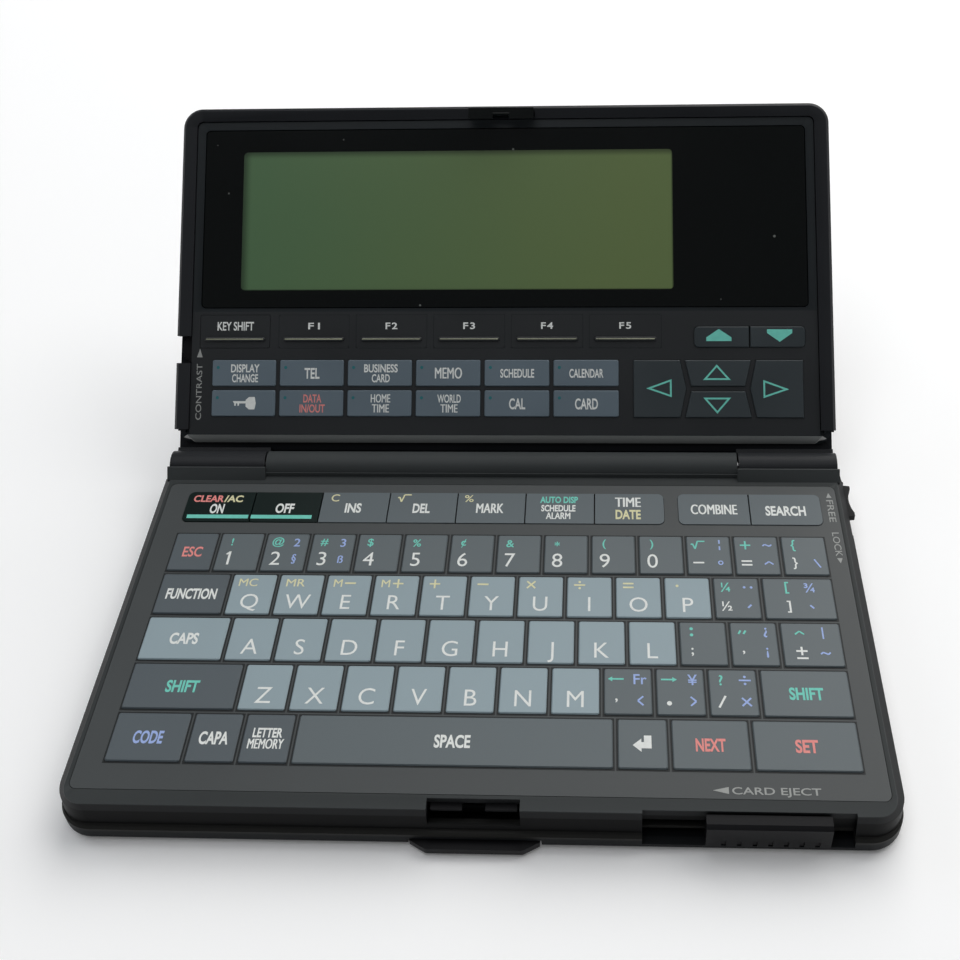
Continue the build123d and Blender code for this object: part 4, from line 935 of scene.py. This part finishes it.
def make_trim():
    """The satin bevel along the hinge edge of the lid, with its mitred ends painted pale as a painted highlight.
    """
    top = [(-74.9, 5.26, -2.88), (74.9, 5.26, -2.88), (76.5, 7.14, -1.0), (-76.5, 7.14, -1.0)]
    faces = [(0, 1, 2, 3), (7, 6, 5, 4), (0, 4, 5, 1), (3, 2, 6, 7), (1, 5, 6, 2), (0, 3, 7, 4)]
    thick = 0.15
    under = [(x, u, w - thick) for x, u, w in top]
    in_lid_frame("lid_bevel_trim", top + under, faces, [MATS["trim"]])
    for name, side in (("left", -1), ("right", 1)):
        top = [(side * 74.95, 5.26, -2.86), (side * 76.55, 7.14, -0.98), (side * 77.7, 6.5, -2.1)]
        if side > 0:
            top = [top[0], top[2], top[1]]
        faces = [(0, 2, 1), (3, 4, 5), (0, 1, 4, 3), (1, 2, 5, 4), (2, 0, 3, 5)]
        under = [(x, u, w - thick) for x, u, w in top]
        in_lid_frame(f"lid_trim_{name}", top + under, faces, [MATS["trim_end_glint"]])


def make_latch_spring():
    """The release latch's spring, a fixed coil that rides with the latch; the real one shortens as the latch is
    pressed in.
    """
    start, height, turns, radius, wire = -34.38, 3.9, 5, 0.6, 0.11
    steps, sides = 24 * turns, 8
    slope = Vector((0, height / (2 * math.pi * turns), 0))
    points, faces = [], []
    for i in range(steps + 1):
        angle = 2 * math.pi * turns * i / steps
        out = Vector((math.cos(angle), 0, math.sin(angle)))
        centre = Vector((0, start + height * i / steps, 1.85)) + radius * out
        along = (Vector((-math.sin(angle), 0, math.cos(angle))) * radius + slope).normalized()
        side = out.cross(along)
        for k in range(sides):
            turn = 2 * math.pi * k / sides
            points.append((centre + wire * (math.cos(turn) * out + math.sin(turn) * side)) * MM)
    for i in range(steps):
        for k in range(sides):
            a, b = i * sides + k, i * sides + (k + 1) % sides
            faces.append((a, b, b + sides, a + sides))
    faces += [tuple(reversed(range(sides))), tuple(range(steps * sides, (steps + 1) * sides))]
    mesh = bpy.data.meshes.new("release_spring")
    mesh.from_pydata(points, [], faces)
    mesh.materials.append(MATS["steel"])
    spring = bpy.data.objects.new("release_spring", mesh)
    bpy.context.scene.collection.objects.link(spring)
    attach(spring, "release_latch")
    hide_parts("latch_spring")
    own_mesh(spring)


MATS["screen"] = screen_material()
MATS["bar"] = plastic("bar_polished", (0.30, 0.31, 0.22), 0.22, 900, 0.05, 0.25, 0.8)
# the mitred ends are painted pale: a painted highlight
MATS["trim_end_glint"] = plastic("trim_end_glint", (0.50, 0.50, 0.49), 0.40, 1200, 0.16, 0.10, 0.5)
MATS["trim"] = plastic("trim_satin", (0.150, 0.158, 0.154), 0.42, 1200, 0.16, 0.10, 0.5, pale_edges=0.5)
make_window()
make_bars()
make_trim()
make_latch_spring()


# ---- floor, surroundings and lamps -------------------------------------------------
def make_floor():
    """A plain pale floor, just under the feet."""
    mesh = bpy.data.meshes.new("floor")
    bm = bmesh.new()
    reach, below = 4, 0.00005
    for x, y in ((-reach, -reach), (reach, -reach), (reach, reach), (-reach, reach)):
        bm.verts.new((x, y, -below))
    bm.faces.new(bm.verts)
    bm.to_mesh(mesh)
    bm.free()
    mat, _, shader = new_material("floor_white", (0.98, 0.98, 0.985), 0.8, 0.1)
    shader.inputs["Emission Color"].default_value = (1, 1, 1, 1)
    shader.inputs["Emission Strength"].default_value = 0.07
    mesh.materials.append(mat)
    floor = bpy.data.objects.new("floor", mesh)
    bpy.context.scene.collection.objects.link(floor)


def make_world():
    """Soft studio surroundings: pale round the horizon, dim overhead."""
    world = bpy.data.worlds.new("studio")
    world.use_nodes = True
    tree = world.node_tree
    coord = tree.nodes.new("ShaderNodeTexCoord")
    axes = tree.nodes.new("ShaderNodeSeparateXYZ")
    tree.links.new(coord.outputs["Generated"], axes.inputs["Vector"])
    band = tree.nodes.new("ShaderNodeMapRange")
    band.interpolation_type = "SMOOTHSTEP"
    band.inputs["From Min"].default_value = 0.02
    band.inputs["From Max"].default_value = 0.40
    band.inputs["To Min"].default_value = 0.75
    band.inputs["To Max"].default_value = 0.09
    tree.links.new(axes.outputs["Z"], band.inputs["Value"])
    background = tree.nodes["Background"]
    background.inputs["Color"].default_value = (0.96, 0.975, 1.0, 1)
    tree.links.new(band.outputs["Result"], background.inputs["Strength"])
    bpy.context.scene.world = world


make_floor()
make_world()
area_light("key", (0.55, 0.80, 0.92), (0, 0, 0), (1.8, 1.2), 18.5, (1.0, 0.99, 0.97))
area_light("top", (-0.15, 0.0, 1.30), (0, 0, 0), (1.1, 0.9), 5.0, (0.96, 0.98, 1.0))
area_light("left", (-1.1, 0.5, 0.7), (0, 0, 0), (0.6, 0.6), 1.5, (0.88, 0.94, 1.0))
bpy.context.scene.view_settings.view_transform = "Standard"
